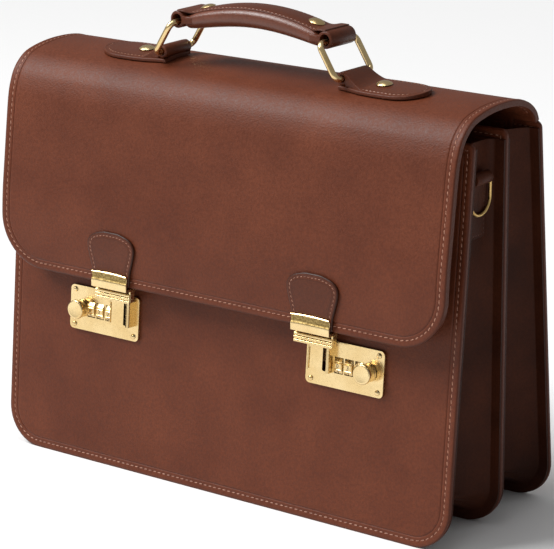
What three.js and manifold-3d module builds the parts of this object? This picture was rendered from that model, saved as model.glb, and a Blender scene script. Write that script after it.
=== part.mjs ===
// Leather document case: two compartments behind a long flap, closed by two brass
// combination locks, with a padded handle on brass rings and a ring on each side.
// Millimetres, +Z up, the front faces -Y, the origin is under the middle of the divider.

import * as THREE from 'three';
import { mergeVertices } from 'three/addons/utils/BufferGeometryUtils.js';
import Module from 'manifold-3d';

const wasm = await Module();
wasm.setup();

// Clearances
const SEAM_GAP = 0.3;
const RUNNING_GAP = 0.35;
const CUT_OVERRUN = 1;

// Body panels
const CASE_WIDTH = 410;
const BASE_DEPTH = 141.5;
const PANEL_THICKNESS = 3.2;
const PANEL_CORNER_RADIUS = 30;
const PANEL_TOP_RADIUS = 5;
const FRONT_PANEL_HEIGHT = 289;
const DIVIDER_HEIGHT = 292;
const BACK_PANEL_HEIGHT = 290;
const FRONT_LEAN = 0.0863;
const DIVIDER_LEAN = 0.012;
const BACK_LEAN = 0.099;

// Gussets
const GUSSET_THICKNESS = 1.8;
const GUSSET_HEIGHT = 285;
const FLANGE_WIDTH = 9;
const FLANGE_INSET = 0.4;
const FOLD_DEPTH = 13.5;
const FOLD_FLAT = 4;
const FRONT_TOP_FOLD_DEPTH = 4;
const FRONT_TOP_FOLD_FLAT = 23;
const REAR_TOP_FOLD_DEPTH = 9;
const REAR_TOP_FOLD_FLAT = 6;

// Flap
const FLAP_THICKNESS = 4.8;
const FLAP_WIDTH = 405;
const FLAP_CORNER_RADIUS = 39;
const FLAP_CROWN_RISE = 20.5;
const FLAP_LOWER_HEIGHT = 146;
const FLAP_STANDOFF = 16.5;
const FLAP_TAIL_LENGTH = 28;
const FLAP_TAIL_THICKNESS = 1.8;
const FLAP_TAIL_WIDTH = 368;
const FLAP_STEPS = 34;

// Locks
const LOCK_END_INSET = 93.75;
const LOCK_SPACING = CASE_WIDTH - 2 * LOCK_END_INSET;
const LOCK_DROP = 28;
const LOCK_HEIGHT = FLAP_LOWER_HEIGHT - LOCK_DROP;
const PLATE_WIDTH = 67;
const PLATE_HEIGHT = 34;
const PLATE_THICKNESS = 2;
const PLATE_CORNER_RADIUS = 3.5;
const PLATE_RIVET_INSET_X = 4.6;
const PLATE_RIVET_INSET_Z = 3.6;
const PLATE_RIVET_RADIUS = 2;
const PLATE_RIVET_RISE = 1.1;
const PLATE_RIVET_SHANK = 0.9;
const CASE_BACK = 13.2;
const CASE_HEIGHT = 20.4;
const CASE_INNER_END = -10.4;
const CASE_OUTER_END = 30.4;
const DIAL_RADIUS = 8;
const DIAL_WIDTH = 6.8;
const DIAL_PITCH = 8.8;
const DIAL_RISE = 2.2;
const DIAL_BORE = 1.8;
const DIAL_MIDDLE = 3.8;
const DIALS_PER_LOCK = 3;
const DIGITS_PER_DIAL = 10;
const AXLE_RADIUS = 1.4;
const HOUSING_WIDTH = 18.8;
const HOUSING_HEIGHT = 19;
const HOUSING_RISE = 7;
const HOUSING_OFFSET = 19.2;
const HOUSING_LIFT = 3.6;
const HOUSING_CORNER_RADIUS = 2.2;
const HOUSING_WALL = 1.6;
const GROOVE_WIDTH = 1.2;
const GROOVE_DEPTH = 0.8;
const GROOVE_SPACING = 14;
const KNOB_OFFSET = 21;
const KNOB_RADIUS = 7.3;
const KNOB_THICKNESS = 3.6;
const KNOB_REACH = 12.3;
const KNOB_NECK_RADIUS = 3.6;
const KNOB_STEM_RADIUS = 2.4;
const KNOB_FOOT_RADIUS = 3.8;
const KNOB_FOOT_THICKNESS = 2;
const KNOB_TRAVEL = 4;

// Hasps
const HASP_OFFSET = 18.8;
const CAP_WIDTH = 33.5;
const CAP_WALL = 1.7;
const CAP_HEIGHT = 12.6;
const CAP_FOOT = 3;
const CAP_BACK_HEIGHT = 10;
const EAR_WIDTH = 1.7;
const EAR_DEPTH = 5;
const BAR_HEIGHT = 7.4;
const BAR_DEPTH = 7;
const BAR_RIBS = 3;
const RIB_DEPTH = 0.6;
const PIN_RADIUS = 1.2;
const PIN_DROP = 8.6;
const PIN_INSET = 3.2;
const TONGUE_WIDTH = 15;
const TONGUE_THICKNESS = 2.2;
const TONGUE_DEPTH = 11;

// Clasp tabs
const TAB_THICKNESS = 2.2;
const TAB_WIDTH = 45;
const TAB_HEIGHT = 40;

// Handle
const HANDLE_X = 3.5;
const HANDLE_Y = -17;
const WIRE_RADIUS = 2.3;
const RING_WIDTH = 44;
const RING_CORNER_RADIUS = 5;
const RING_BASE_SPACING = 163;
const RING_GRIP_SPACING = 133;
const RING_RISE = 24;
const RING_BASE_LIFT = 6.8;
const LOOP_GAP = 0.5;
const LOOP_LEATHER = 2.1;
const LOOP_WIDTH = 30;
const BASE_LENGTH = 68;
const BASE_WIDTH = 37;
const BASE_THICKNESS = 3.2;
const BASE_RIVET_SPACING = 215;
const GRIP_WIDTH = 29;
const GRIP_HEIGHT = 16;
const GRIP_ARCH = 10.4;
const GRIP_TOP_LIFT = 47.5;
const GRIP_RIVET_SPACING = 98;
const GRIP_LOOP_RADIUS = 6.4;
const GRIP_LOOP_TAIL = 14;
const GRIP_LOOP_THICKNESS = 4.4;
const RIVET_RADIUS = 6;
const RIVET_RISE = 2.2;

// Side rings and their tabs
const SIDE_RING_HEIGHT = 260.5;
const SIDE_RING_WIDTH = 25;
const SIDE_RING_DROP = 26;
const SIDE_WIRE_RADIUS = 1.2;
const SIDE_TAB_WIDTH = 20;
const SIDE_TAB_LENGTH = 43;
const SIDE_TAB_THICKNESS = 3.4;
const SIDE_LOOP_LEATHER = 2;
const SIDE_LOOP_RADIUS = 4.6;

const LEATHER = new THREE.MeshStandardMaterial({ color: 0x6e3d2c, roughness: 0.55, metalness: 0 });
const DARK_LEATHER = new THREE.MeshStandardMaterial({ color: 0x3a2018, roughness: 0.6, metalness: 0 });
const BRASS = new THREE.MeshStandardMaterial({ color: 0xd9b878, roughness: 0.3, metalness: 1 });

// Faces of the leaning panels at a height above the floor
const frontFace = (z) => -BASE_DEPTH / 2 + FRONT_LEAN * z;
const frontInner = (z) => frontFace(z) + PANEL_THICKNESS;
const dividerFront = (z) => -PANEL_THICKNESS / 2 - DIVIDER_LEAN * z;
const dividerBack = (z) => PANEL_THICKNESS / 2 - DIVIDER_LEAN * z;
const backFace = (z) => BASE_DEPTH / 2 - BACK_LEAN * z;
const backInner = (z) => backFace(z) - PANEL_THICKNESS;

// Merged geometry whose faces point outwards
function closed(geometry) {
  geometry.deleteAttribute('normal');
  geometry.deleteAttribute('uv');
  const merged = mergeVertices(geometry, 1e-4);
  const index = merged.index.array;
  const position = merged.attributes.position;
  const a = new THREE.Vector3();
  const b = new THREE.Vector3();
  const c = new THREE.Vector3();
  let volume = 0;
  for (let i = 0; i < index.length; i += 3) {
    a.fromBufferAttribute(position, index[i]);
    b.fromBufferAttribute(position, index[i + 1]);
    c.fromBufferAttribute(position, index[i + 2]);
    volume += a.dot(b.cross(c));
  }
  if (volume < 0) {
    for (let i = 0; i < index.length; i += 3) {
      const first = index[i];
      index[i] = index[i + 1];
      index[i + 1] = first;
    }
  }
  merged.computeVertexNormals();
  return merged;
}

function toSolid(geometry) {
  const merged = closed(geometry);
  return new wasm.Manifold(new wasm.Mesh({
    numProp: 3,
    vertProperties: new Float32Array(merged.attributes.position.array),
    triVerts: new Uint32Array(merged.index.array),
  }));
}

function toGeometry(solid) {
  const mesh = solid.getMesh();
  const geometry = new THREE.BufferGeometry();
  geometry.setAttribute('position', new THREE.BufferAttribute(mesh.vertProperties, 3));
  geometry.setIndex(new THREE.BufferAttribute(mesh.triVerts, 1));
  geometry.computeVertexNormals();
  return geometry;
}

const join = (first, ...others) =>
  toGeometry(others.reduce((solid, other) => solid.add(toSolid(other)), toSolid(first)));
const cut = (first, ...others) =>
  toGeometry(others.reduce((solid, other) => solid.subtract(toSolid(other)), toSolid(first)));
const keep = (first, second) => toGeometry(toSolid(first).intersect(toSolid(second)));

// Triangles of a flat closed outline of points in space
function capTriangles(points) {
  const origin = points[0];
  const normal = new THREE.Vector3();
  points.forEach((point, i) => {
    const next = points[(i + 1) % points.length];
    normal.add(point.clone().sub(origin).cross(next.clone().sub(origin)));
  });
  normal.normalize();
  const side = Math.abs(normal.z) < 0.9 ? new THREE.Vector3(0, 0, 1) : new THREE.Vector3(1, 0, 0);
  const u = side.cross(normal).normalize();
  const v = normal.clone().cross(u);
  const flat = points.map((point) => new THREE.Vector2(point.dot(u), point.dot(v)));
  return THREE.ShapeUtils.triangulateShape(flat, []);
}

// Solid through a row of sections with as many points each; a ring joins its last to its first
function loft(sections, ring = false) {
  const count = sections[0].length;
  const vertices = sections.flat().flatMap((point) => [point.x, point.y, point.z]);
  const index = [];
  const spans = ring ? sections.length : sections.length - 1;
  for (let s = 0; s < spans; s += 1) {
    const here = s * count;
    const there = ((s + 1) % sections.length) * count;
    for (let i = 0; i < count; i += 1) {
      const j = (i + 1) % count;
      index.push(here + i, here + j, there + j);
      index.push(here + i, there + j, there + i);
    }
  }
  if (!ring) {
    const last = (sections.length - 1) * count;
    capTriangles(sections[0]).forEach(([a, b, c]) => index.push(c, b, a));
    capTriangles(sections[sections.length - 1]).forEach(([a, b, c]) => {
      index.push(last + a, last + b, last + c);
    });
  }
  const geometry = new THREE.BufferGeometry();
  geometry.setAttribute('position', new THREE.Float32BufferAttribute(vertices, 3));
  geometry.setIndex(index);
  return closed(geometry);
}

// Box from its middle and its sizes
function box(middle, size) {
  return new THREE.BoxGeometry(...size).translate(...middle);
}

// Round bar along X from its middle
function barAlongX(middle, radius, length, sides = 12) {
  return new THREE.CylinderGeometry(radius, radius, length, sides)
    .rotateZ(Math.PI / 2)
    .translate(...middle);
}

// Outline in X and Z, thickened along +Y from a given place
function slab(shape, y, thickness, curveSegments = 8) {
  const options = { depth: thickness, bevelEnabled: false, curveSegments };
  return new THREE.ExtrudeGeometry(shape, options)
    .rotateX(Math.PI / 2)
    .translate(0, y + thickness, 0);
}

// Outline in Y and Z, extruded along X about a given middle
function prismAlongX(shape, x, length, curveSegments = 8) {
  const options = { depth: length, bevelEnabled: false, curveSegments };
  return new THREE.ExtrudeGeometry(shape, options)
    .rotateY(Math.PI / 2)
    .rotateX(Math.PI / 2)
    .translate(x - length / 2, 0, 0);
}

function roundedRectangle(width, low, high, lowRadius, highRadius) {
  const half = width / 2;
  const shape = new THREE.Shape();
  shape.moveTo(-half + lowRadius, low);
  shape.lineTo(half - lowRadius, low);
  shape.absarc(half - lowRadius, low + lowRadius, lowRadius, -Math.PI / 2, 0);
  shape.lineTo(half, high - highRadius);
  shape.absarc(half - highRadius, high - highRadius, highRadius, 0, Math.PI / 2);
  shape.lineTo(-half + highRadius, high);
  shape.absarc(-half + highRadius, high - highRadius, highRadius, Math.PI / 2, Math.PI);
  shape.lineTo(-half, low + lowRadius);
  shape.absarc(-half + lowRadius, low + lowRadius, lowRadius, Math.PI, Math.PI * 1.5);
  return shape;
}

function polygon(points) {
  const shape = new THREE.Shape();
  points.forEach(([x, y], i) => (i ? shape.lineTo(x, y) : shape.moveTo(x, y)));
  return shape;
}

// Round head with a shank, turned about its own axis; the head stands on height 0
function rivetGeometry(radius, rise, shankRadius, shankLength, sides) {
  const profile = [
    [0, rise],
    [radius * 0.55, rise * 0.86],
    [radius * 0.88, rise * 0.5],
    [radius, 0],
    [shankRadius, 0],
    [shankRadius, -shankLength],
    [0, -shankLength],
  ].map(([x, y]) => new THREE.Vector2(x, y));
  return closed(new THREE.LatheGeometry(profile, sides));
}

// Closed wire of a round section about a flat path of { point, tangent } stations
function wireRing(stations, normal, radius, sides) {
  const sections = stations.map(({ point, tangent }) => {
    const side = normal.clone().cross(tangent).normalize();
    return Array.from({ length: sides }, (_, i) => {
      const angle = (i / sides) * Math.PI * 2;
      return point.clone()
        .addScaledVector(side, Math.cos(angle) * radius)
        .addScaledVector(normal, Math.sin(angle) * radius);
    });
  });
  return loft(sections, true);
}

// Stations of a closed path built from arcs: each has a centre, a radius and two angles
function arcStations(arcs, across, along, origin) {
  return arcs.flatMap(({ u, v, radius, from, to, steps }) => (
    Array.from({ length: steps + 1 }, (_, i) => {
      const angle = from + ((to - from) * i) / steps;
      return {
        point: origin.clone()
          .addScaledVector(across, u + Math.cos(angle) * radius)
          .addScaledVector(along, v + Math.sin(angle) * radius),
        tangent: across.clone().multiplyScalar(-Math.sin(angle))
          .addScaledVector(along, Math.cos(angle)),
      };
    })
  ));
}

const caseModel = new THREE.Group();
caseModel.name = 'document_case';

function addMesh(parent, name, geometry, material) {
  const mesh = new THREE.Mesh(closed(geometry), material);
  mesh.name = name;
  parent.add(mesh);
  return mesh;
}

// Panels: flat underneath, sheared so that they lean with their bottoms on the floor

function panelGeometry(height, outerFace) {
  const outline = roundedRectangle(CASE_WIDTH, 0, height, PANEL_CORNER_RADIUS, PANEL_TOP_RADIUS);
  const geometry = slab(outline, 0, PANEL_THICKNESS);
  const position = geometry.attributes.position;
  for (let i = 0; i < position.count; i += 1) {
    position.setY(i, position.getY(i) + outerFace(position.getZ(i)));
  }
  return geometry;
}

// Each lock has a frame on the front panel's face, turned back with the panel:
// x to the outer side of the case, y into it and z up the panel
const LEAN_ANGLE = Math.atan(FRONT_LEAN);
const SIDES = [{ name: 'left', side: -1 }, { name: 'right', side: 1 }];

function lockFrame(side) {
  const group = new THREE.Group();
  group.position.set((side * LOCK_SPACING) / 2, frontFace(LOCK_HEIGHT), LOCK_HEIGHT);
  group.rotation.x = -LEAN_ANGLE;
  group.updateMatrix();
  return group;
}

const caseMiddle = (CASE_INNER_END + CASE_OUTER_END) / 2;
const caseLength = CASE_OUTER_END - CASE_INNER_END;

function frontPanelGeometry() {
  const openings = SIDES.map(({ side }) => {
    const opening = box(
      [side * caseMiddle, 0, 0],
      [caseLength + 2 * SEAM_GAP, 6 * PANEL_THICKNESS, CASE_HEIGHT + 2 * SEAM_GAP],
    );
    return opening.applyMatrix4(lockFrame(side).matrix);
  });
  return cut(panelGeometry(FRONT_PANEL_HEIGHT, frontFace), ...openings);
}

addMesh(caseModel, 'front_panel', frontPanelGeometry(), LEATHER);
addMesh(caseModel, 'divider_panel', panelGeometry(DIVIDER_HEIGHT, dividerFront), LEATHER);
addMesh(caseModel, 'back_panel', panelGeometry(BACK_PANEL_HEIGHT, backInner), LEATHER);

// Gussets: a strip with a flange on each panel and a fold that points into the compartment

// Table of the fold up each side: height as a share of the gusset's, and how far the fold
// has gone over from its lower to its upper size
const FOLD_TABLE = [
  { height: 1, upper: 1 },
  { height: 0.74, upper: 1 },
  { height: 0.62, upper: 0.55 },
  { height: 0.46, upper: 0 },
  { height: 0.25, upper: 0 },
];
const CORNER_STEPS = 5;

function gussetStations() {
  const radius = PANEL_CORNER_RADIUS;
  const half = CASE_WIDTH / 2;
  const stations = FOLD_TABLE.map(({ height, upper }) => (
    { x: half, z: GUSSET_HEIGHT * height, inX: -1, inZ: 0, upper }
  ));
  for (let i = 0; i <= CORNER_STEPS; i += 1) {
    const angle = (i / CORNER_STEPS) * (Math.PI / 2);
    stations.push({
      x: half - radius + radius * Math.cos(angle),
      z: radius - radius * Math.sin(angle),
      inX: -Math.cos(angle),
      inZ: Math.sin(angle),
      upper: 0,
    });
  }
  const mirrored = stations.map((s) => ({ ...s, x: -s.x, inX: -s.inX })).reverse();
  return [...stations, ...mirrored];
}

function gussetGeometry(frontOf, backOf, topDepth, topFlat) {
  const sections = gussetStations().map(({ x, z, inX, inZ, upper }) => {
    const depth = FOLD_DEPTH + (topDepth - FOLD_DEPTH) * upper;
    const flat = (FOLD_FLAT + (topFlat - FOLD_FLAT) * upper) / 2;
    const outside = SEAM_GAP + GUSSET_THICKNESS;
    const foldInset = FLANGE_WIDTH + depth;
    const inner = flat + GUSSET_THICKNESS * 0.4;
    const place = (inset, fromFront, fromBack, fromMiddle) => {
      const height = z + inZ * inset;
      let y = (frontOf(height) + backOf(height)) / 2 + fromMiddle;
      if (fromFront) {
        y = frontOf(height) + fromFront;
      }
      if (fromBack) {
        y = backOf(height) - fromBack;
      }
      return new THREE.Vector3(x + inX * inset, y, height);
    };
    return [
      place(FLANGE_INSET, outside, 0, 0),
      place(FLANGE_WIDTH, outside, 0, 0),
      place(foldInset, 0, 0, -flat),
      place(foldInset, 0, 0, flat),
      place(FLANGE_WIDTH, 0, outside, 0),
      place(FLANGE_INSET, 0, outside, 0),
      place(FLANGE_INSET, 0, SEAM_GAP, 0),
      place(FLANGE_WIDTH + GUSSET_THICKNESS, 0, SEAM_GAP, 0),
      place(foldInset + GUSSET_THICKNESS, 0, 0, inner),
      place(foldInset + GUSSET_THICKNESS, 0, 0, -inner),
      place(FLANGE_WIDTH + GUSSET_THICKNESS, SEAM_GAP, 0, 0),
      place(FLANGE_INSET, SEAM_GAP, 0, 0),
    ];
  });
  return loft(sections);
}

addMesh(
  caseModel,
  'front_gusset',
  gussetGeometry(frontInner, dividerFront, FRONT_TOP_FOLD_DEPTH, FRONT_TOP_FOLD_FLAT),
  DARK_LEATHER,
);
addMesh(
  caseModel,
  'rear_gusset',
  gussetGeometry(dividerBack, backInner, REAR_TOP_FOLD_DEPTH, REAR_TOP_FOLD_FLAT),
  DARK_LEATHER,
);

// Flap: its outer line runs from the seam on the back panel over the top and down the front

// Columns: across is a share of the way from the back seam to the front edge, and height
// a share of the crown's rise above the seam or, where negative, of the fall below it
const FLAP_TABLE = [
  { across: 0, height: 0 },
  { across: 0.03, height: 0.35 },
  { across: 0.095, height: 0.66 },
  { across: 0.19, height: 0.88 },
  { across: 0.29, height: 0.975 },
  { across: 0.41, height: 1 },
  { across: 0.53, height: 0.966 },
  { across: 0.645, height: 0.864 },
  { across: 0.735, height: 0.716 },
  { across: 0.798, height: 0.478 },
  { across: 0.844, height: 0.195 },
  { across: 0.874, height: -0.016 },
  { across: 0.907, height: -0.099 },
  { across: 0.932, height: -0.238 },
  { across: 0.962, height: -0.432 },
  { across: 0.99, height: -0.619 },
  { across: 1.002, height: -0.8 },
  { across: 1, height: -1 },
];

const seamHeight = BACK_PANEL_HEIGHT + SEAM_GAP;
const seamY = backFace(BACK_PANEL_HEIGHT);
const flapEdgeY = frontFace(FLAP_LOWER_HEIGHT) - FLAP_STANDOFF;
const flapFall = seamHeight - FLAP_LOWER_HEIGHT;
const flapLine = new THREE.SplineCurve(FLAP_TABLE.map(({ across, height }) => new THREE.Vector2(
  seamY + (flapEdgeY - seamY) * across,
  seamHeight + height * (height > 0 ? FLAP_CROWN_RISE : flapFall),
)));
const flapOuter = flapLine.getSpacedPoints(FLAP_STEPS);

// The flap's outer line, moved out by a distance
function flapOffset(distance) {
  return flapOuter.map((point, i) => {
    const before = flapOuter[Math.max(i - 1, 0)];
    const after = flapOuter[Math.min(i + 1, flapOuter.length - 1)];
    const along = after.clone().sub(before).normalize();
    return new THREE.Vector2(point.x + along.y * distance, point.y - along.x * distance);
  });
}

// Height of the flap's outer line over a place on its top, and its place at a front height
function flapTopAt(y) {
  const i = flapOuter.findIndex((point, k) => k > 0 && point.x <= y);
  const a = flapOuter[i - 1];
  const b = flapOuter[i];
  return a.y + ((b.y - a.y) * (y - a.x)) / (b.x - a.x);
}

function flapFrontAt(z) {
  const i = flapOuter.findLastIndex((point) => point.y >= z);
  const a = flapOuter[i];
  const b = flapOuter[Math.min(i + 1, flapOuter.length - 1)];
  return b.y === a.y ? a.x : a.x + ((b.x - a.x) * (z - a.y)) / (b.y - a.y);
}

function flapGeometry() {
  const inner = flapOffset(-FLAP_THICKNESS).reverse();
  const section = polygon([...flapOuter, ...inner].map((point) => [point.x, point.y]));
  const sheet = prismAlongX(section, 0, FLAP_WIDTH);
  const top = seamHeight + 2 * FLAP_CROWN_RISE;
  const outline = roundedRectangle(FLAP_WIDTH, FLAP_LOWER_HEIGHT - 1, top, FLAP_CORNER_RADIUS, 1);
  const rounded = keep(sheet, slab(outline, -BASE_DEPTH, 2 * BASE_DEPTH, 10));
  const underSeam = box([0, seamY, seamHeight / 2], [2 * FLAP_WIDTH, 2 * seamY, seamHeight]);
  const trimmed = cut(rounded, underSeam);
  const tailTop = seamHeight + FLAP_THICKNESS;
  const tailLow = BACK_PANEL_HEIGHT - FLAP_TAIL_LENGTH;
  const outside = (z) => backInner(z) - SEAM_GAP;
  const tail = polygon([
    [outside(tailLow), tailLow],
    [outside(tailTop), tailTop],
    [outside(tailTop) - FLAP_TAIL_THICKNESS, tailTop],
    [outside(tailLow) - FLAP_TAIL_THICKNESS, tailLow],
  ]);
  return join(trimmed, prismAlongX(tail, 0, FLAP_TAIL_WIDTH));
}

addMesh(caseModel, 'flap', flapGeometry(), LEATHER);

// Locks

const plateFront = SEAM_GAP + PLATE_THICKNESS;
const axleDepth = DIAL_RADIUS - DIAL_RISE - plateFront;
const dialCentres = Array.from(
  { length: DIALS_PER_LOCK },
  (_, i) => DIAL_MIDDLE + (i - (DIALS_PER_LOCK - 1) / 2) * DIAL_PITCH,
);
// Every corner of a plate has a rivet but the one under the hasp; x is to the outer side
const rivetPlaces = [[1, 1], [1, -1], [-1, -1]].map(([across, up]) => ({
  x: across * (PLATE_WIDTH / 2 - PLATE_RIVET_INSET_X),
  z: up * (PLATE_HEIGHT / 2 - PLATE_RIVET_INSET_Z),
}));
const tongueBack = plateFront + (HOUSING_RISE - TONGUE_THICKNESS) / 2;

function lockBodyGeometry(side) {
  const outline = roundedRectangle(
    PLATE_WIDTH, -PLATE_HEIGHT / 2, PLATE_HEIGHT / 2, PLATE_CORNER_RADIUS, PLATE_CORNER_RADIUS,
  );
  const plate = slab(outline, -plateFront, PLATE_THICKNESS, 4);
  const casing = box(
    [side * caseMiddle, (CASE_BACK - plateFront) / 2 + 0.5, 0],
    [caseLength, CASE_BACK + plateFront - 1, CASE_HEIGHT],
  );
  const housingX = -side * HOUSING_OFFSET;
  const housingTop = HOUSING_LIFT + HOUSING_HEIGHT / 2;
  const foot = PLATE_THICKNESS / 2;
  const housingOutline = roundedRectangle(
    HOUSING_WIDTH, -HOUSING_RISE, foot, HOUSING_CORNER_RADIUS, 0.1,
  );
  const housing = new THREE.ExtrudeGeometry(
    housingOutline, { depth: HOUSING_HEIGHT, bevelEnabled: false, curveSegments: 4 },
  ).translate(housingX, -plateFront, housingTop - HOUSING_HEIGHT);
  const dialSlots = dialCentres.map((x) => barAlongX(
    [side * x, axleDepth, 0], DIAL_RADIUS + RUNNING_GAP, DIAL_WIDTH + 2 * RUNNING_GAP, 24,
  ));
  const stemSlot = box(
    [side * (KNOB_OFFSET + KNOB_TRAVEL / 2), -plateFront, 0],
    [KNOB_TRAVEL + 2 * (KNOB_STEM_RADIUS + RUNNING_GAP), 4 * PLATE_THICKNESS,
      2 * (KNOB_STEM_RADIUS + RUNNING_GAP)],
  );
  const footRoom = KNOB_FOOT_THICKNESS + 2 * RUNNING_GAP;
  const footSlot = box(
    [side * (KNOB_OFFSET + KNOB_TRAVEL / 2), footRoom / 2 - SEAM_GAP, 0],
    [KNOB_TRAVEL + 2 * (KNOB_FOOT_RADIUS + RUNNING_GAP), footRoom,
      2 * (KNOB_FOOT_RADIUS + RUNNING_GAP)],
  );
  const tongueRoom = TONGUE_DEPTH + 2 * RUNNING_GAP;
  const tongueSlot = box(
    [-side * HASP_OFFSET, -(tongueBack + TONGUE_THICKNESS / 2), housingTop - (tongueRoom - CUT_OVERRUN) / 2],
    [TONGUE_WIDTH + 2 * RUNNING_GAP, TONGUE_THICKNESS + 2 * RUNNING_GAP, tongueRoom + CUT_OVERRUN],
  );
  const grooves = [-1, 1].map((way) => box(
    [housingX + (way * GROOVE_SPACING) / 2, -plateFront - HOUSING_RISE, HOUSING_LIFT],
    [GROOVE_WIDTH, 2 * GROOVE_DEPTH, HOUSING_HEIGHT - 2 * HOUSING_WALL],
  ));
  const holes = rivetPlaces.map(({ x, z }) => (
    new THREE.CylinderGeometry(
      PLATE_RIVET_SHANK + RUNNING_GAP, PLATE_RIVET_SHANK + RUNNING_GAP, 4 * PLATE_THICKNESS, 8,
    ).translate(side * x, -plateFront, z)
  ));
  const body = cut(
    join(plate, casing, housing), ...dialSlots, stemSlot, footSlot, tongueSlot, ...grooves, ...holes,
  );
  const axleLength = DIALS_PER_LOCK * DIAL_PITCH;
  return join(body, barAlongX([side * DIAL_MIDDLE, axleDepth, 0], AXLE_RADIUS, axleLength, 8));
}

function dialGeometry() {
  const flatShare = 0.38;
  const shape = polygon(Array.from({ length: DIGITS_PER_DIAL }, (_, i) => i).flatMap((i) => (
    [-1, 1].map((way) => {
      const angle = ((i + way * flatShare) / DIGITS_PER_DIAL) * Math.PI * 2;
      return [DIAL_RADIUS * Math.cos(angle), DIAL_RADIUS * Math.sin(angle)];
    })
  )));
  shape.holes.push(new THREE.Path().absarc(0, 0, DIAL_BORE, 0, Math.PI * 2, true));
  return prismAlongX(shape, 0, DIAL_WIDTH, 6);
}

function knobGeometry() {
  const back = KNOB_REACH - KNOB_THICKNESS;
  const seat = plateFront + RUNNING_GAP;
  const profile = [
    [0, KNOB_REACH],
    [KNOB_RADIUS * 0.78, KNOB_REACH],
    [KNOB_RADIUS, KNOB_REACH - KNOB_THICKNESS * 0.3],
    [KNOB_RADIUS, back + KNOB_THICKNESS * 0.2],
    [KNOB_RADIUS * 0.85, back],
    [KNOB_NECK_RADIUS, back],
    [KNOB_NECK_RADIUS, seat],
    [KNOB_STEM_RADIUS, seat],
    [KNOB_STEM_RADIUS, -RUNNING_GAP],
    [KNOB_FOOT_RADIUS, -RUNNING_GAP],
    [KNOB_FOOT_RADIUS, -RUNNING_GAP - KNOB_FOOT_THICKNESS + 2 * SEAM_GAP],
    [0, -RUNNING_GAP - KNOB_FOOT_THICKNESS + 2 * SEAM_GAP],
  ].map(([radius, height]) => new THREE.Vector2(radius, height));
  return new THREE.LatheGeometry(profile, 20).rotateX(Math.PI);
}

// Place of a point of the case in a lock's frame
function toLockFrame(y, z) {
  const point = new THREE.Vector3(0, y, z);
  point.applyMatrix4(lockFrame(0).matrix.clone().invert());
  return { y: point.y, z: point.z };
}

const flapEdge = toLockFrame(flapEdgeY, FLAP_LOWER_HEIGHT);
const flapSlip = 0.5;
const pinY = flapEdge.y + PIN_INSET;
const pinZ = flapEdge.z - PIN_DROP;

// Cap on the flap's edge: a channel that holds the edge and the tab, with two ears and a pin
function haspCapGeometry() {
  const front = flapEdge.y - TAB_THICKNESS - 2 * SEAM_GAP - flapSlip;
  const back = flapEdge.y + FLAP_THICKNESS + SEAM_GAP + flapSlip;
  const low = flapEdge.z - CAP_FOOT;
  const floor = flapEdge.z - SEAM_GAP - flapSlip;
  const upright = ([y, z]) => [y - FRONT_LEAN * (z - floor), z];
  const channel = polygon([
    [front - CAP_WALL, low],
    [back + CAP_WALL, low],
    [back + CAP_WALL, low + CAP_BACK_HEIGHT],
    [back, low + CAP_BACK_HEIGHT],
    [back, floor],
    [front, floor],
    [front, low + CAP_HEIGHT],
    [front - CAP_WALL * 0.4, low + CAP_HEIGHT],
    [front - CAP_WALL, low + CAP_HEIGHT * 0.55],
  ].map(upright));
  const earLow = pinZ - EAR_DEPTH / 2;
  const ears = [-1, 1].map((way) => box(
    [(way * (CAP_WIDTH - EAR_WIDTH)) / 2, pinY, (earLow + low + CAP_WALL / 2) / 2],
    [EAR_WIDTH, EAR_DEPTH, low + CAP_WALL / 2 - earLow],
  ));
  const pin = barAlongX([0, pinY, pinZ], PIN_RADIUS, CAP_WIDTH - EAR_WIDTH, 10);
  return join(prismAlongX(channel, 0, CAP_WIDTH), ...ears, pin);
}

// Hasp: a ribbed bar on the pin, with a tongue that steps back into the housing
function haspGeometry() {
  const width = CAP_WIDTH - 2 * (EAR_WIDTH + RUNNING_GAP);
  const front = pinY - BAR_DEPTH / 2;
  const back = pinY + BAR_DEPTH / 2;
  const top = pinZ + BAR_HEIGHT / 2;
  const rib = BAR_HEIGHT / BAR_RIBS;
  const ribs = Array.from({ length: BAR_RIBS }, (_, i) => [
    [front + RIB_DEPTH, top - rib * i],
    [front, top - rib * (i + 0.3)],
    [front, top - rib * (i + 0.7)],
  ]).flat();
  const low = pinZ - BAR_HEIGHT / 2;
  const bar = polygon([...ribs, [front + RIB_DEPTH, low], [back, low], [back, top]]);
  const housingTop = HOUSING_LIFT + HOUSING_HEIGHT / 2;
  const tongueFront = -(tongueBack + TONGUE_THICKNESS);
  const step = (low + housingTop) / 2;
  const tongue = polygon([
    [back - TONGUE_THICKNESS * 1.6, low + TONGUE_THICKNESS],
    [back, low + TONGUE_THICKNESS],
    [back, low],
    [-tongueBack, step],
    [-tongueBack, housingTop - TONGUE_DEPTH],
    [tongueFront, housingTop - TONGUE_DEPTH],
    [tongueFront, step - TONGUE_THICKNESS * 0.3],
    [back - TONGUE_THICKNESS * 1.6, low],
  ]);
  const hole = barAlongX([0, pinY, pinZ], PIN_RADIUS + RUNNING_GAP, CAP_WIDTH, 10);
  return cut(join(prismAlongX(bar, 0, width), prismAlongX(tongue, 0, TONGUE_WIDTH)), hole);
}

// Clasp tab: rows give its half width as a share, at a share of its height
const TAB_TABLE = [
  { height: 0, width: 0.76 },
  { height: 0.25, width: 0.79 },
  { height: 0.5, width: 0.92 },
  { height: 0.7, width: 1 },
  { height: 0.82, width: 0.97 },
  { height: 0.91, width: 0.82 },
  { height: 0.97, width: 0.56 },
  { height: 1, width: 0.22 },
];

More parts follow.
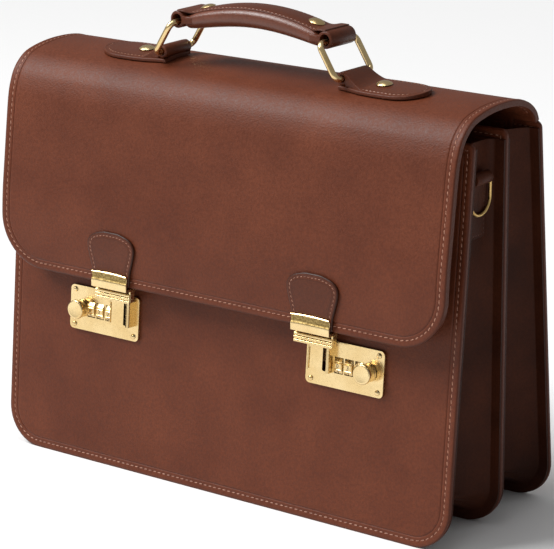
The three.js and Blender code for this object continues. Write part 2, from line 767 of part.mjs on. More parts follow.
function claspTabGeometry(x) {
  const sections = TAB_TABLE.map(({ height, width }) => {
    const half = (TAB_WIDTH / 2) * width;
    const z = FLAP_LOWER_HEIGHT + SEAM_GAP + TAB_HEIGHT * height;
    const back = flapFrontAt(z) - SEAM_GAP;
    const front = back - TAB_THICKNESS;
    return [[-half, back], [half, back], [half, front], [-half, front]]
      .map(([across, y]) => new THREE.Vector3(x + across, y, z));
  });
  return loft(sections);
}

SIDES.forEach(({ name, side }) => {
  const lock = lockFrame(side);
  caseModel.add(lock);
  addMesh(lock, `lock_body_${name}`, lockBodyGeometry(side), BRASS);
  dialCentres.forEach((x, i) => {
    const dial = addMesh(lock, `dial_${name}_${i + 1}`, dialGeometry(), BRASS);
    dial.position.set(side * x, axleDepth, 0);
  });
  const knob = addMesh(lock, `lock_knob_${name}`, knobGeometry(), BRASS);
  knob.position.set(side * KNOB_OFFSET, 0, 0);
  rivetPlaces.forEach(({ x, z }, i) => {
    const geometry = rivetGeometry(
      PLATE_RIVET_RADIUS, PLATE_RIVET_RISE, PLATE_RIVET_SHANK, PLATE_THICKNESS, 8,
    ).rotateX(Math.PI);
    const rivet = addMesh(lock, `plate_rivet_${name}_${i + 1}`, geometry, BRASS);
    rivet.position.set(side * x, -plateFront - SEAM_GAP, z);
  });
  const haspX = -side * HASP_OFFSET;
  addMesh(lock, `hasp_cap_${name}`, haspCapGeometry(), BRASS).position.x = haspX;
  addMesh(lock, `hasp_${name}`, haspGeometry(), BRASS).position.x = haspX;
  const tabX = side * (LOCK_SPACING / 2 - HASP_OFFSET);
  addMesh(caseModel, `clasp_tab_${name}`, claspTabGeometry(tabX), LEATHER);
});

// Handle

const handle = new THREE.Group();
handle.position.set(HANDLE_X, 0, 0);
caseModel.add(handle);
const baseTopAt = (y) => flapTopAt(y) + SEAM_GAP + BASE_THICKNESS;
const ringBaseZ = flapTopAt(HANDLE_Y) + RING_BASE_LIFT;
const ringGripZ = ringBaseZ + RING_RISE;
const gripLoopHollow = GRIP_LOOP_RADIUS - LOOP_LEATHER;
const gripLoopZ = ringGripZ + gripLoopHollow - WIRE_RADIUS - RUNNING_GAP;
const baseLoopInner = WIRE_RADIUS + LOOP_GAP;
const baseLoopOuter = baseLoopInner + LOOP_LEATHER;
const baseStart = RING_BASE_SPACING / 2 - baseLoopOuter;

// Rows give the base's half width as a share, at a share of its length from the loop
const BASE_TABLE = [
  { along: 0, width: 0.9 },
  { along: 0.2, width: 0.96 },
  { along: 0.5, width: 1 },
  { along: 0.72, width: 0.97 },
  { along: 0.86, width: 0.8 },
  { along: 0.95, width: 0.54 },
  { along: 1, width: 0.2 },
];
const BASE_STRIPS = 5;

function handleBaseGeometry(side) {
  const sections = BASE_TABLE.map(({ along, width }) => {
    const x = side * (baseStart + BASE_LENGTH * along);
    const across = Array.from({ length: BASE_STRIPS + 1 }, (_, i) => (
      HANDLE_Y + (BASE_WIDTH / 2) * width * ((2 * i) / BASE_STRIPS - 1)
    ));
    const low = across.map((y) => new THREE.Vector3(x, y, flapTopAt(y) + SEAM_GAP));
    const high = across.map((y) => new THREE.Vector3(x, y, baseTopAt(y))).reverse();
    return [...low, ...high];
  });
  const plate = loft(sections);
  const barX = (side * RING_BASE_SPACING) / 2;
  const rampEnd = barX + side * baseLoopOuter * 2.6;
  const sink = baseTopAt(HANDLE_Y) - 2.4;
  const tube = loopTube(barX, ringBaseZ, baseLoopOuter, LOOP_WIDTH);
  const ramp = strapPrism([
    [barX, sink],
    [rampEnd, sink],
    [barX + side * baseLoopOuter * 0.55, ringBaseZ + baseLoopOuter * 0.8],
    [barX, ringBaseZ + baseLoopOuter * 0.9],
  ], LOOP_WIDTH);
  const bore = loopTube(barX, ringBaseZ, baseLoopInner, 2 * LOOP_WIDTH);
  return cut(join(plate, tube, ramp), bore);
}

// Round bar along Y, centred on the handle
function loopTube(x, z, radius, width) {
  return new THREE.CylinderGeometry(radius, radius, width, 16).translate(x, HANDLE_Y, z);
}

// Outline in X and Z, extruded along Y about the handle's middle
function strapPrism(points, width) {
  return slab(polygon(points), HANDLE_Y - width / 2, width);
}

const handleRingCentre = (side) => new THREE.Vector3(
  (side * (RING_BASE_SPACING + RING_GRIP_SPACING)) / 4, HANDLE_Y, (ringBaseZ + ringGripZ) / 2,
);

function handleRingGeometry(side) {
  const lean = (side * (RING_GRIP_SPACING - RING_BASE_SPACING)) / 2;
  const along = new THREE.Vector3(lean, 0, RING_RISE);
  const height = along.length();
  along.normalize();
  const across = new THREE.Vector3(0, 1, 0);
  const r = RING_CORNER_RADIUS;
  const u = RING_WIDTH / 2 - r;
  const v = height / 2 - r;
  const quarter = Math.PI / 2;
  const arcs = [[1, 1, 0], [-1, 1, 1], [-1, -1, 2], [1, -1, 3]].map(([a, b, turn]) => (
    { u: a * u, v: b * v, radius: r, from: turn * quarter, to: (turn + 1) * quarter, steps: 3 }
  ));
  const stations = arcStations(arcs, across, along, handleRingCentre(side));
  return wireRing(stations, across.clone().cross(along).normalize(), WIRE_RADIUS, 8);
}

const gripLength = RING_GRIP_SPACING - 2 * (GRIP_LOOP_RADIUS + SEAM_GAP);
const gripTop = ringBaseZ - RING_BASE_LIFT + GRIP_TOP_LIFT;
const gripTopAt = (x) => gripTop - GRIP_ARCH * ((2 * x) / gripLength) ** 2;
const GRIP_STEPS = 12;

// Rows give the roll's outline in shares of half its width and of its height from the top
const GRIP_TABLE = [
  { across: 0, down: 0 },
  { across: 0.62, down: 0.015 },
  { across: 0.86, down: 0.1 },
  { across: 0.99, down: 0.34 },
  { across: 0.98, down: 0.6 },
  { across: 0.78, down: 0.88 },
  { across: 0.42, down: 0.99 },
  { across: 0, down: 1 },
];

function gripGeometry() {
  const half = GRIP_TABLE.map(({ across, down }) => [across, down]);
  const other = half.slice(1, -1).map(([across, down]) => [-across, down]).reverse();
  const sections = Array.from({ length: GRIP_STEPS + 1 }, (_, i) => {
    const x = gripLength * (i / GRIP_STEPS - 0.5);
    return [...half, ...other].map(([across, down]) => new THREE.Vector3(
      x, HANDLE_Y + (across * GRIP_WIDTH) / 2, gripTopAt(x) - down * GRIP_HEIGHT,
    ));
  });
  const pockets = SIDES.map(({ side }) => strapPrism(gripTailOutline(side, SEAM_GAP),
    LOOP_WIDTH + 2 * SEAM_GAP));
  return cut(loft(sections), ...pockets);
}

// Tail of a grip loop, which lies in a pocket in the grip's end
function gripTailOutline(side, gap) {
  const outer = (side * RING_GRIP_SPACING) / 2;
  const end = side * (gripLength / 2 - GRIP_LOOP_TAIL - gap);
  const tilt = GRIP_LOOP_THICKNESS * 0.45;
  const half = GRIP_LOOP_THICKNESS / 2 + gap;
  return [
    [outer, gripLoopZ - half],
    [end, gripLoopZ + tilt - half],
    [end, gripLoopZ + tilt + half],
    [outer, gripLoopZ + half],
  ];
}

function gripLoopGeometry(side) {
  const x = (side * RING_GRIP_SPACING) / 2;
  const tube = loopTube(x, gripLoopZ, GRIP_LOOP_RADIUS, LOOP_WIDTH);
  const tail = strapPrism(gripTailOutline(side, 0), LOOP_WIDTH);
  const bore = loopTube(x, gripLoopZ, gripLoopHollow, 2 * LOOP_WIDTH);
  return cut(join(tube, tail), bore);
}

const rivetSeat = 0.75;
addMesh(handle, 'handle_grip', gripGeometry(), LEATHER);
SIDES.forEach(({ name, side }) => {
  addMesh(handle, `handle_base_${name}`, handleBaseGeometry(side), LEATHER);
  addMesh(handle, `handle_ring_${name}`, handleRingGeometry(side), BRASS);
  addMesh(handle, `handle_loop_${name}`, gripLoopGeometry(side), LEATHER);
  const head = () => rivetGeometry(RIVET_RADIUS, RIVET_RISE, RIVET_RADIUS * 0.9, 0.2, 16)
    .rotateX(Math.PI / 2);
  const baseX = (side * BASE_RIVET_SPACING) / 2;
  const slope = Math.atan2(baseTopAt(HANDLE_Y + RIVET_RADIUS) - baseTopAt(HANDLE_Y - RIVET_RADIUS),
    2 * RIVET_RADIUS);
  const baseRivet = addMesh(handle, `base_rivet_${name}`, head(), BRASS);
  baseRivet.position.set(baseX, HANDLE_Y, baseTopAt(HANDLE_Y) + rivetSeat);
  baseRivet.rotation.x = slope;
  const gripX = (side * GRIP_RIVET_SPACING) / 2;
  const gripRivet = addMesh(handle, `grip_rivet_${name}`, head(), BRASS);
  gripRivet.position.set(gripX, HANDLE_Y, gripTopAt(gripX) + rivetSeat);
  gripRivet.rotation.y = Math.atan((8 * GRIP_ARCH * gripX) / gripLength ** 2);
});

// Side rings: each hangs in a tab that is sewn on the flat upper fold of the front gusset

const sideY = (frontInner(SIDE_RING_HEIGHT) + dividerFront(SIDE_RING_HEIGHT)) / 2;
const tabInnerX = CASE_WIDTH / 2 - FLANGE_WIDTH - FRONT_TOP_FOLD_DEPTH + SEAM_GAP;
const sideBarX = tabInnerX + SIDE_TAB_THICKNESS + SIDE_WIRE_RADIUS + RUNNING_GAP;

function sideTabGeometry(side) {
  const plate = box(
    [side * (tabInnerX + SIDE_TAB_THICKNESS / 2), sideY, SIDE_RING_HEIGHT - SIDE_TAB_LENGTH / 2],
    [SIDE_TAB_THICKNESS, SIDE_TAB_WIDTH, SIDE_TAB_LENGTH],
  );
  const at = [side * sideBarX, sideY, SIDE_RING_HEIGHT];
  const tube = new THREE.CylinderGeometry(
    SIDE_LOOP_RADIUS, SIDE_LOOP_RADIUS, SIDE_TAB_WIDTH, 14,
  ).translate(...at);
  const hollow = SIDE_LOOP_RADIUS - SIDE_LOOP_LEATHER;
  const bore = new THREE.CylinderGeometry(hollow, hollow, 2 * SIDE_TAB_WIDTH, 12).translate(...at);
  return cut(join(plate, tube), bore);
}

function sideRingGeometry(side) {
  const across = new THREE.Vector3(0, 1, 0);
  const along = new THREE.Vector3(0, 0, 1);
  const half = SIDE_RING_WIDTH / 2;
  const corner = 2.6;
  const u = half - corner;
  const bow = -SIDE_RING_DROP + half;
  const quarter = Math.PI / 2;
  const arcs = [
    { u, v: -corner, radius: corner, from: 0, to: quarter, steps: 2 },
    { u: -u, v: -corner, radius: corner, from: quarter, to: 2 * quarter, steps: 2 },
    { u: 0, v: bow, radius: half, from: 2 * quarter, to: 4 * quarter, steps: 12 },
  ];
  const origin = new THREE.Vector3(side * sideBarX, sideY, SIDE_RING_HEIGHT);
  const stations = arcStations(arcs, across, along, origin);
  return wireRing(stations, new THREE.Vector3(1, 0, 0), SIDE_WIRE_RADIUS, 6);
}

SIDES.forEach(({ name, side }) => {
  addMesh(caseModel, `side_tab_${name}`, sideTabGeometry(side), DARK_LEATHER);
  addMesh(caseModel, `side_ring_${name}`, sideRingGeometry(side), BRASS);
});

export default caseModel;
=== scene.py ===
import math
import bpy
import bmesh
import numpy as np
from mathutils import Euler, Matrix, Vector


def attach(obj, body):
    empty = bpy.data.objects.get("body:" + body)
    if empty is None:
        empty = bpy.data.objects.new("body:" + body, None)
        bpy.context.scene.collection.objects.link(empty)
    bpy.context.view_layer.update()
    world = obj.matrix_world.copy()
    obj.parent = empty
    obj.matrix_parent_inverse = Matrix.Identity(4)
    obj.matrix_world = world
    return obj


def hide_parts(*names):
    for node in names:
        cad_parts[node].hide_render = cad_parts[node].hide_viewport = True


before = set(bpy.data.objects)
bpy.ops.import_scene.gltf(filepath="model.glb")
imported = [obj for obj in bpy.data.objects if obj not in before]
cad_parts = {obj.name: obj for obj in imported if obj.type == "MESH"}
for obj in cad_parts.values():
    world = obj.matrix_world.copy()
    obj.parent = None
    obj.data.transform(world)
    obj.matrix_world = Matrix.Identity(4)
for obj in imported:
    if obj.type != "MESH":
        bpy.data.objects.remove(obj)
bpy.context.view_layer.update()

# Leather document case. Sizes are in millimetres until a mesh is made, then in metres.
# +X is the width, the front faces -Y and the origin is under the middle of the divider.

MM = 0.001

# Body panels
CASE_HALF = 205.0
BASE_HALF_DEPTH = 70.75
PANEL_THICKNESS = 3.2
PANEL_CORNER = 30.0
PANEL_TOP_CORNER = 5.0
FRONT_HEIGHT = 289.0
DIVIDER_HEIGHT = 292.0
BACK_HEIGHT = 290.0
FRONT_LEAN = 0.0863
DIVIDER_LEAN = 0.012
BACK_LEAN = 0.099
SEAM_GAP = 0.3
WAVE_X = 47
WAVE_Z = 61
WAVE_SLANT = 83

# Gussets
GUSSET_THICKNESS = 1.8
GUSSET_HEIGHT = 285.0
FLANGE_WIDTH = 9.0
FOLD_LOW_DEPTH = 13.5
FOLD_LOW_FLAT = 4
FOLD_HEIGHT_SHARES = (0, 0.46, 0.62, 0.74, 1)
FOLD_UPPER_SHARES = (0, 0, 0.55, 1, 1)
PUCKER_SIZE = 2.2
PUCKER_WAVE = 5.5
PUCKER_HEIGHT = 14
PUCKER_SPREAD = 20

# Flap
FLAP_THICKNESS = 4.8
FLAP_HALF = 202.5
FLAP_CORNER = 39.0
FLAP_RISE = 20.5
FLAP_LOW = 146.0
FLAP_STANDOFF = 16.5
FLAP_SEAM_DROPS = (6, 14)
TAIL_HALF = 184.0
TAIL_DROP = 28.0
TAIL_THICKNESS = 1.8
FLAP_TABLE = np.array([
    (0, 0), (0.03, 0.35), (0.095, 0.66), (0.19, 0.88), (0.29, 0.975), (0.41, 1), (0.53, 0.966),
    (0.645, 0.864), (0.735, 0.716), (0.798, 0.478), (0.844, 0.195), (0.874, -0.016),
    (0.907, -0.099), (0.932, -0.238), (0.962, -0.432), (0.99, -0.619), (1.002, -0.8), (1, -1),
])

# Stitches and the pressed line beside them, as distances in from a leather's cut edge, and the
# distance that stands for leather away from every edge
STITCH_INSET = 4.8
STITCH_PITCH = 4.4
CREASE_INSET = 7.7
PLAIN_INSET = 20.0

# Locks
LOCK_X = 111.25
LOCK_Z = 118.0
PLATE_FRONT = 2.3
PLATE_RIVET_X = 28.9
PLATE_RIVET_Z = 13.4
PLATE_RIVET_CORNERS = ((1, 1), (1, -1), (-1, -1))
RIVET_PROFILE = (
    (0, 1.1), (0.7, 1.05), (1.3, 0.85), (1.75, 0.5), (2.0, 0), (0.9, 0), (0.9, -2), (0, -2),
)
KNOB_OFFSET = 21.0
KNOB_PROFILE = (
    (0, 12.1), (4.8, 12.15), (5.7, 12.27), (6.3, 12.3), (6.8, 12.2), (7.15, 11.9), (7.3, 11.4),
    (7.3, 9.4), (7.2, 8.8), (6.9, 8.3), (6.4, 7.9), (6.1, 7.3), (6.0, 5.2), (6.2, 4.4), (6.6, 3.7),
    (6.7, 3.1), (6.5, 2.75), (2.4, 2.65), (2.4, -0.35), (3.8, -0.35), (3.8, -1.7), (0, -1.7),
)

# Number wheels
DIAL_RADIUS = 8.0
DIAL_WIDTH = 6.8
DIAL_PLACES = (-5.0, 3.8, 12.6)
DIAL_DEPTH = 3.5
DIAL_FACES = 10
DIAL_STEPS = 120
FLAT_HALF_TURN = math.radians(13.7)
NOTCH_DEPTH = 0.75
WHEEL_BORE = 1.8
DIGIT_SIZE = 4.6
DIGIT_EXTRUSION = 0.12

# Housing on the lock plate that takes the hasp's tongue, with its slot
HOUSING_OFFSET = 19.2
HOUSING_MIDDLE = 3.6
HOUSING_HALF_HEIGHT = 9.5
HOUSING_FRONT = -9.3
SLOT_OFFSET = 6.2
SLOT_LOW = HOUSING_MIDDLE - HOUSING_HALF_HEIGHT + 1.5
SLOT_TOP = 12.4
SLOT_FLOOR = HOUSING_FRONT + 3.2
SLOT_HALF_WIDTHS = {-1: 1.0, 1: 1.55}

# Hasps and the caps that hold them
HASP_OFFSET = 18.8
CAP_HALF = 16.75
CAP_HEIGHT = 12.6
CAP_LIP = (
    (0, -0.5), (-0.2, -0.1), (-0.75, 0.1), (-1.35, -0.05), (-1.7, -0.5), (-1.65, -1.0),
    (-1.2, -1.5), (-0.8, -2.3), (-0.6, -3.3), (-0.6, -4.3), (-0.8, -5.2), (-1.2, -6.0),
    (-1.6, -6.6), (-1.75, -7.3),
)
CAP_FOOT = ((-1.75, 0.9), (-1.5, 0.3), (-0.95, 0))
CAP_BACK = ((0.95, 0), (1.5, 0.3), (1.7, 0.9), (1.7, 9.4), (1.2, 9.9), (0.5, 9.9), (0, 9.4))
PIN_PROFILE = ((0, -16.9), (0.7, -16.8), (1.15, -16.4), (1.15, 16.4), (0.7, 16.8), (0, 16.9))
PIN_BACK = 3.2
PIN_DROP = 8.6
EAR_INNER = 15.05
EAR_OUTER = 16.7
BAR_HALF_WIDTH = 16.6
BAR_HALF_DEPTH = 3.5
BAR_CORE_HALF = 14.6
RIB_COUNT = 3
RIB_PITCH = 7.4 / RIB_COUNT
RIB_LOW = 3.7
RIB_RISE = 0.7
GROOVE_DEPTH = 1.4
TONGUE_HALF_WIDTH = 7.4
TONGUE_FRONT = -6.85
TONGUE_BACK = -4.75
TONGUE_TOP = 13.4
TONGUE_LOW = HOUSING_MIDDLE + HOUSING_HALF_HEIGHT - 11

# Clasp tabs
TAB_HEIGHT = 40.0
TAB_THICKNESS = 2.2
TAB_HALF = 22.5
TAB_HEIGHT_SHARES = (0, 0.25, 0.5, 0.7, 0.82, 0.91, 0.97, 1.0)
TAB_WIDTH_SHARES = (0.76, 0.79, 0.92, 1.0, 0.97, 0.82, 0.56, 0.22)
TAB_STITCH_INSET = 2.9

# Handle
HANDLE_X = 3.5
HANDLE_Y = -17.0
WIRE_RADIUS = 2.3
RING_HALF_WIDTH = 22.0
RING_BASE_HALF = 81.5
RING_GRIP_HALF = 66.5
RING_BASE_LIFT = 6.8
RING_RISE = 24.0
LOOP_HALF_WIDTH = 15.0
BASE_HALF_WIDTH = 18.5
BASE_LENGTH = 68.0
BASE_THICKNESS = 3.2
BASE_OVERLAP = 3.4
BASE_STITCH_INSET = 3.3
TIP_START = 0.62
LOOP_RADIUS = 4.9
LOOP_BORE = 2.8
RAMP_REACH = 19.0
RAMP_END_HALF = 16.6
GRIP_LOOP_RADIUS = 6.4
GRIP_LOOP_BORE = 4.3
GRIP_LOOP_HALF_TAIL = 3.0
GRIP_LOOP_TAIL = 14.5
BAND_SECTION = (
    (-1, 0.0, 0), (-1, 0.3, 0), (-1, 0.8, 0.35), (-1, 1.0, 1),
    (1, 1.0, 1), (1, 0.8, 0.35), (1, 0.3, 0), (1, 0.0, 0),
)
GRIP_HALF = 59.8
GRIP_HALF_WIDTH = 14.5
GRIP_HEIGHT = 16.0
GRIP_ARCH = 10.4
GRIP_TOP_LIFT = 47.5
BASE_RIVET_HALF = 107.5
GRIP_RIVET_HALF = 49.0
STRIP_HALF_TURN = 48
STRIP_SEAM = 0.84
DOME_PROFILE = (
    (0, 2.2), (1.6, 2.12), (3.0, 1.85), (4.2, 1.4), (5.1, 0.85), (5.7, 0.45), (6.0, 0.12), (5.9, 0),
    (5.4, 0), (5.4, -0.2), (0, -0.2),
)

# Side rings
SIDE_RING_Z = 260.5
SIDE_RING_X = 197.25
SIDE_TAB_X = 192.3
SIDE_TAB_HALF = 10.0
SIDE_TAB_DROP = 43
SIDE_TAB_THICKNESS = 3.4
SIDE_STITCH_INSET = 2.3
ROLL_PROFILE = (
    (2.6, -10), (3.2, -10), (4.2, -9.7), (4.6, -9.0), (4.6, 9.0), (4.2, 9.7), (3.2, 10), (2.6, 10),
)
SIDE_RING_HALF = 12.5
SIDE_RING_CORNER = 2.6
SIDE_RING_DROP = 26
SIDE_WIRE_RADIUS = 1.2

SIDES = (("left", -1), ("right", 1))
LEAN = math.atan(FRONT_LEAN)


def front_face(z):
    """Outer face of the front panel at a height: it leans back."""
    return -BASE_HALF_DEPTH + FRONT_LEAN * z


def front_inner(z):
    """Inner face of the front panel at a height."""
    return front_face(z) + PANEL_THICKNESS


def divider_front(z):
    """Front face of the divider at a height: it leans a little to the front."""
    return -PANEL_THICKNESS / 2 - DIVIDER_LEAN * z


def divider_back(z):
    """Rear face of the divider at a height."""
    return PANEL_THICKNESS / 2 - DIVIDER_LEAN * z


def back_face(z):
    """Outer face of the back panel at a height: it leans to the front."""
    return BASE_HALF_DEPTH - BACK_LEAN * z


def back_inner(z):
    """Inner face of the back panel at a height."""
    return back_face(z) - PANEL_THICKNESS


# Making meshes

def grid_faces(rows, columns, close_rows=False, close_columns=False):
    """Quads of a grid of points, with its rows or columns joined end to end where asked."""
    r = np.arange(rows if close_rows else rows - 1)[:, None]
    c = np.arange(columns if close_columns else columns - 1)[None, :]
    r2 = (r + 1) % rows
    c2 = (c + 1) % columns
    quads = np.stack([r * columns + c, r * columns + c2, r2 * columns + c2, r2 * columns + c], -1)
    return quads.reshape(-1, 4)


def make_piece(name, parts, body, material, inset=None, replaces=(), smooth_angle=40.0):
    """One mesh from several (points, faces) parts, welded and turned outwards, on a body."""
    points = []
    faces = []
    start = 0
    for xyz, quads in parts:
        xyz = np.asarray(xyz, float).reshape(-1, 3)
        points.append(xyz)
        faces.extend([[start + int(i) for i in face] for face in quads])
        start += len(xyz)
    points = np.concatenate(points) * MM
    mesh = bpy.data.meshes.new(name)
    mesh.from_pydata(points.tolist(), [], faces)
    layer = mesh.attributes.new("inset", "FLOAT", "POINT")
    values = np.full(len(points), PLAIN_INSET) if inset is None else np.asarray(inset, float).ravel()
    layer.data.foreach_set("value", values.astype(np.float32))
    work = bmesh.new()
    work.from_mesh(mesh)
    bmesh.ops.remove_doubles(work, verts=work.verts, dist=0.008 * MM)
    bmesh.ops.dissolve_degenerate(work, edges=work.edges, dist=0.002 * MM)
    bmesh.ops.recalc_face_normals(work, faces=work.faces)
    work.to_mesh(mesh)
    work.free()
    mesh.shade_smooth()
    mesh.set_sharp_from_angle(angle=math.radians(smooth_angle))
    return place_piece(name, mesh, body, material, replaces)


def place_piece(name, mesh, body, material, replaces=()):
    """Puts a mesh in the scene with its material, on its body and for the nodes it replaces."""
    piece = bpy.data.objects.new(name, mesh)
    bpy.context.scene.collection.objects.link(piece)
    mesh.materials.clear()
    mesh.materials.append(material)
    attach(piece, body)
    if replaces:
        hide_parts(*replaces)
    return piece


def rounded_rings(half_width, low, high, low_radius, high_radius, insets, counts):
    """Outline of a rectangle with round corners, drawn inwards ring by ring: at inset d each side
    moves in by d and each corner radius shrinks by d, down to a line along the middle."""
    across, upright, corner = counts
    d = np.asarray(insets, float)[:, None]
    w = np.maximum(half_width - d, 0)
    middle = (low + high) / 2
    a = np.minimum(low + d, middle)
    b = np.maximum(high - d, middle)
    reach = np.minimum(w, (b - a) / 2)
    rl = np.minimum(np.maximum(low_radius - d, 0), reach)
    rh = np.minimum(np.maximum(high_radius - d, 0), reach)
    t = np.linspace(0, 1, across, endpoint=False)[None, :]
    s = np.linspace(0, 1, upright, endpoint=False)[None, :]
    q = np.linspace(0, np.pi / 2, corner, endpoint=False)[None, :]
    legs = [
        (-w + rl + 2 * (w - rl) * t, a + 0 * t),
        (w - rl + rl * np.sin(q), a + rl - rl * np.cos(q)),
        (w + 0 * s, a + rl + (b - rh - a - rl) * s),
        (w - rh + rh * np.cos(q), b - rh + rh * np.sin(q)),
        (w - rh - 2 * (w - rh) * t, b + 0 * t),
        (-w + rh - rh * np.sin(q), b - rh + rh * np.cos(q)),
        (-w + 0 * s, b - rh - (b - rh - a - rl) * s),
        (-w + rl - rl * np.cos(q), a + rl - rl * np.sin(q)),
    ]
    return np.stack([np.concatenate([leg[0] for leg in legs], 1),
                     np.concatenate([leg[1] for leg in legs], 1)], -1)


def leather_relief(d, rim=0.5):
    """Height of a leather face at a distance d from its cut edge: it falls off round the edge,
    swells between the edge and the stitches, dips at the stitches and has a pressed line."""
    edge = -rim * np.exp(-(d / 0.55) ** 1.3) * 1.2
    welt = 0.22 * np.exp(-((d - 2.4) / 1.5) ** 2)
    seam = -0.22 * np.exp(-((d - STITCH_INSET) / 0.7) ** 2)
    line = -0.42 * np.exp(-((d - CREASE_INSET) / 0.42) ** 2)
    return edge + welt + seam + line


def plate(outline, insets, place, thickness, front_relief, back_relief=None):
    """Closed sheet: rings from the middle of its back out to the rim and in again to the middle
    of its front, each lifted by the relief, then put on its surface by place(x, s, out)."""
    half_width, low, high, low_radius, high_radius, counts = outline
    d = np.asarray(insets, float)
    rings = rounded_rings(half_width, low, high, low_radius, high_radius, d, counts)
    front = front_relief(d)
    back = -thickness - (back_relief or front_relief)(d)
    flat = np.concatenate([rings[::-1], rings])
    out = np.concatenate([back[::-1], front])[:, None] + 0 * flat[..., 0]
    points = place(flat[..., 0], flat[..., 1], out)
    inset = np.concatenate([d[::-1], d])[:, None] + 0 * flat[..., 0]
    rows, columns = flat.shape[:2]
    return points, grid_faces(rows, columns, close_columns=True), inset


def insets_to(limit, step):
    """Distances from the rim: close together over the edge, stitches and line, then even."""
    near = [0, 0.1, 0.25, 0.5, 0.9, 1.5, 2.4, 3.3, 4.0, 4.4, 4.8, 5.2, 5.7, 6.4, 7.0, 7.35, 7.55,
            7.7, 7.85, 8.05, 8.4, 9.2, 11]
    far = np.linspace(11, limit, max(int((limit - 11) / step), 2) + 1)[1:]
    return np.array([v for v in near if v < limit - 0.3] + far.tolist())


def ring_at(outline, inset):
    """One ring of a rounded rectangle at a distance in from its rim."""
    half_width, low, high, low_radius, high_radius, counts = outline
    return rounded_rings(half_width, low, high, low_radius, high_radius, [inset], counts)[0]


def resample(path, values, pitch, closed):
    """Places at an even pitch along a line of points, with the other values carried along."""
    if closed:
        path = np.vstack([path, path[:1]])
        values = np.vstack([values, values[:1]])
    step = np.linalg.norm(np.diff(path, axis=0), axis=1)
    length = np.concatenate([[0], np.cumsum(step)])
    count = max(int(round(length[-1] / pitch)), 1)
    at = (np.arange(count) + 0.5) * length[-1] / count
    place = np.stack([np.interp(at, length, path[:, k]) for k in range(3)], -1)
    other = np.stack([np.interp(at, length, values[:, k]) for k in range(3)], -1)
    ahead = np.stack([np.interp(at + 0.4, length, path[:, k]) for k in range(3)], -1)
    behind = np.stack([np.interp(at - 0.4, length, path[:, k]) for k in range(3)], -1)
    along = ahead - behind
    return place, other, along / np.linalg.norm(along, axis=1, keepdims=True)


def stitches(path, normals, pitch=STITCH_PITCH, length=3.6, radius=0.5, slant=0.16, closed=True,
             sink=0.1):
    """A row of short threads: each is a round bar with drawn-in ends, turned a little across the
    line and sunk into the leather."""
    place, up, along = resample(path, normals, pitch, closed)
    up = up / np.linalg.norm(up, axis=1, keepdims=True)
    side = np.cross(up, along)
    side = side / np.linalg.norm(side, axis=1, keepdims=True)
    lean = along * math.cos(slant) + side * math.sin(slant)
    across = np.cross(up, lean)
    stations = np.array([-0.5, -0.38, 0, 0.38, 0.5]) * length
    radii = np.array([0.12, 0.75, 1, 0.75, 0.12]) * radius
    drop = np.array([-0.9, -0.25, 0, -0.25, -0.9]) * radius - sink
    sides = 5
    angle = np.linspace(0, 2 * np.pi, sides, endpoint=False)
    ring_side = np.cos(angle)
    ring_up = np.sin(angle)
    centre = place[:, None, None, :] + lean[:, None, None, :] * stations[None, :, None, None]
    offset = (across[:, None, None, :] * (radii[:, None] * ring_side)[None, :, :, None]
              + up[:, None, None, :] * (radii[:, None] * ring_up + drop[:, None])[None, :, :, None])
    points = (centre + offset).reshape(-1, 3)
    starts = sides * len(stations) * np.arange(len(place))
    skin = grid_faces(len(stations), sides, close_columns=True)[None] + starts[:, None, None]
    first = starts[:, None] + np.arange(sides)[::-1]
    last = starts[:, None] + sides * (len(stations) - 1) + np.arange(sides)
    ends = np.stack([first, last], 1).reshape(-1, sides)
    return points, skin.reshape(-1, 4).tolist() + ends.tolist()


def tube(points):
    """Rows of points round a form, joined into a skin and closed at the first and last row."""
    rows, columns = points.shape[:2]
    ends = [list(range(columns))[::-1], [(rows - 1) * columns + i for i in range(columns)]]
    return points, grid_faces(rows, columns, close_columns=True).tolist() + ends


def lathe(profile, place, segments=32):
    """A profile of (radius, height) pairs turned about its axis, with its ends on the axis."""
    profile = np.asarray(profile, float)
    angle = np.linspace(0, 2 * np.pi, segments, endpoint=False)
    x = profile[:, 0][:, None] * np.cos(angle)
    y = profile[:, 0][:, None] * np.sin(angle)
    z = profile[:, 1][:, None] + 0 * x
    points = place(x, y, z)
    return points, grid_faces(len(profile), segments, close_columns=True)


def sweep_ring(path, normal, radius, sides=16):
    """A round wire carried along a closed flat path: at each place its circle lies across the
    path, measured from the path's own plane."""
    path = np.asarray(path, float)
    along = np.roll(path, -1, axis=0) - np.roll(path, 1, axis=0)
    along /= np.linalg.norm(along, axis=1, keepdims=True)
    normal = np.asarray(normal, float) / np.linalg.norm(normal)
    side = np.cross(normal, along)
    angle = np.linspace(0, 2 * np.pi, sides, endpoint=False)
    points = (path[:, None, :] + radius * np.cos(angle)[None, :, None] * side[:, None, :]
              + radius * np.sin(angle)[None, :, None] * normal[None, None, :])
    return points, grid_faces(len(path), sides, close_rows=True, close_columns=True)


# Making materials

def node(tree, kind, place, **inputs):
    """A shader node at a place in its tree, with values on the named inputs."""
    made = tree.nodes.new(kind)
    made.location = place
    for key, value in inputs.items():
        made.inputs[key.replace("_", " ")].default_value = value
    return made


def colour(r, g, b):
    """Linear colour from an sRGB one in 0 to 255."""
    def linear(c):
        c /= 255
        return c / 12.92 if c <= 0.04045 else ((c + 0.055) / 1.055) ** 2.4
    return (linear(r), linear(g), linear(b), 1)


def ramp(tree, place, stops):
    """A colour ramp with a colour at each position."""
    made = tree.nodes.new("ShaderNodeValToRGB")
    made.location = place
    while len(made.color_ramp.elements) < len(stops):
        made.color_ramp.elements.new(0.5)
    for element, (position, value) in zip(made.color_ramp.elements, stops):
        element.position = position
        element.color = value
    return made


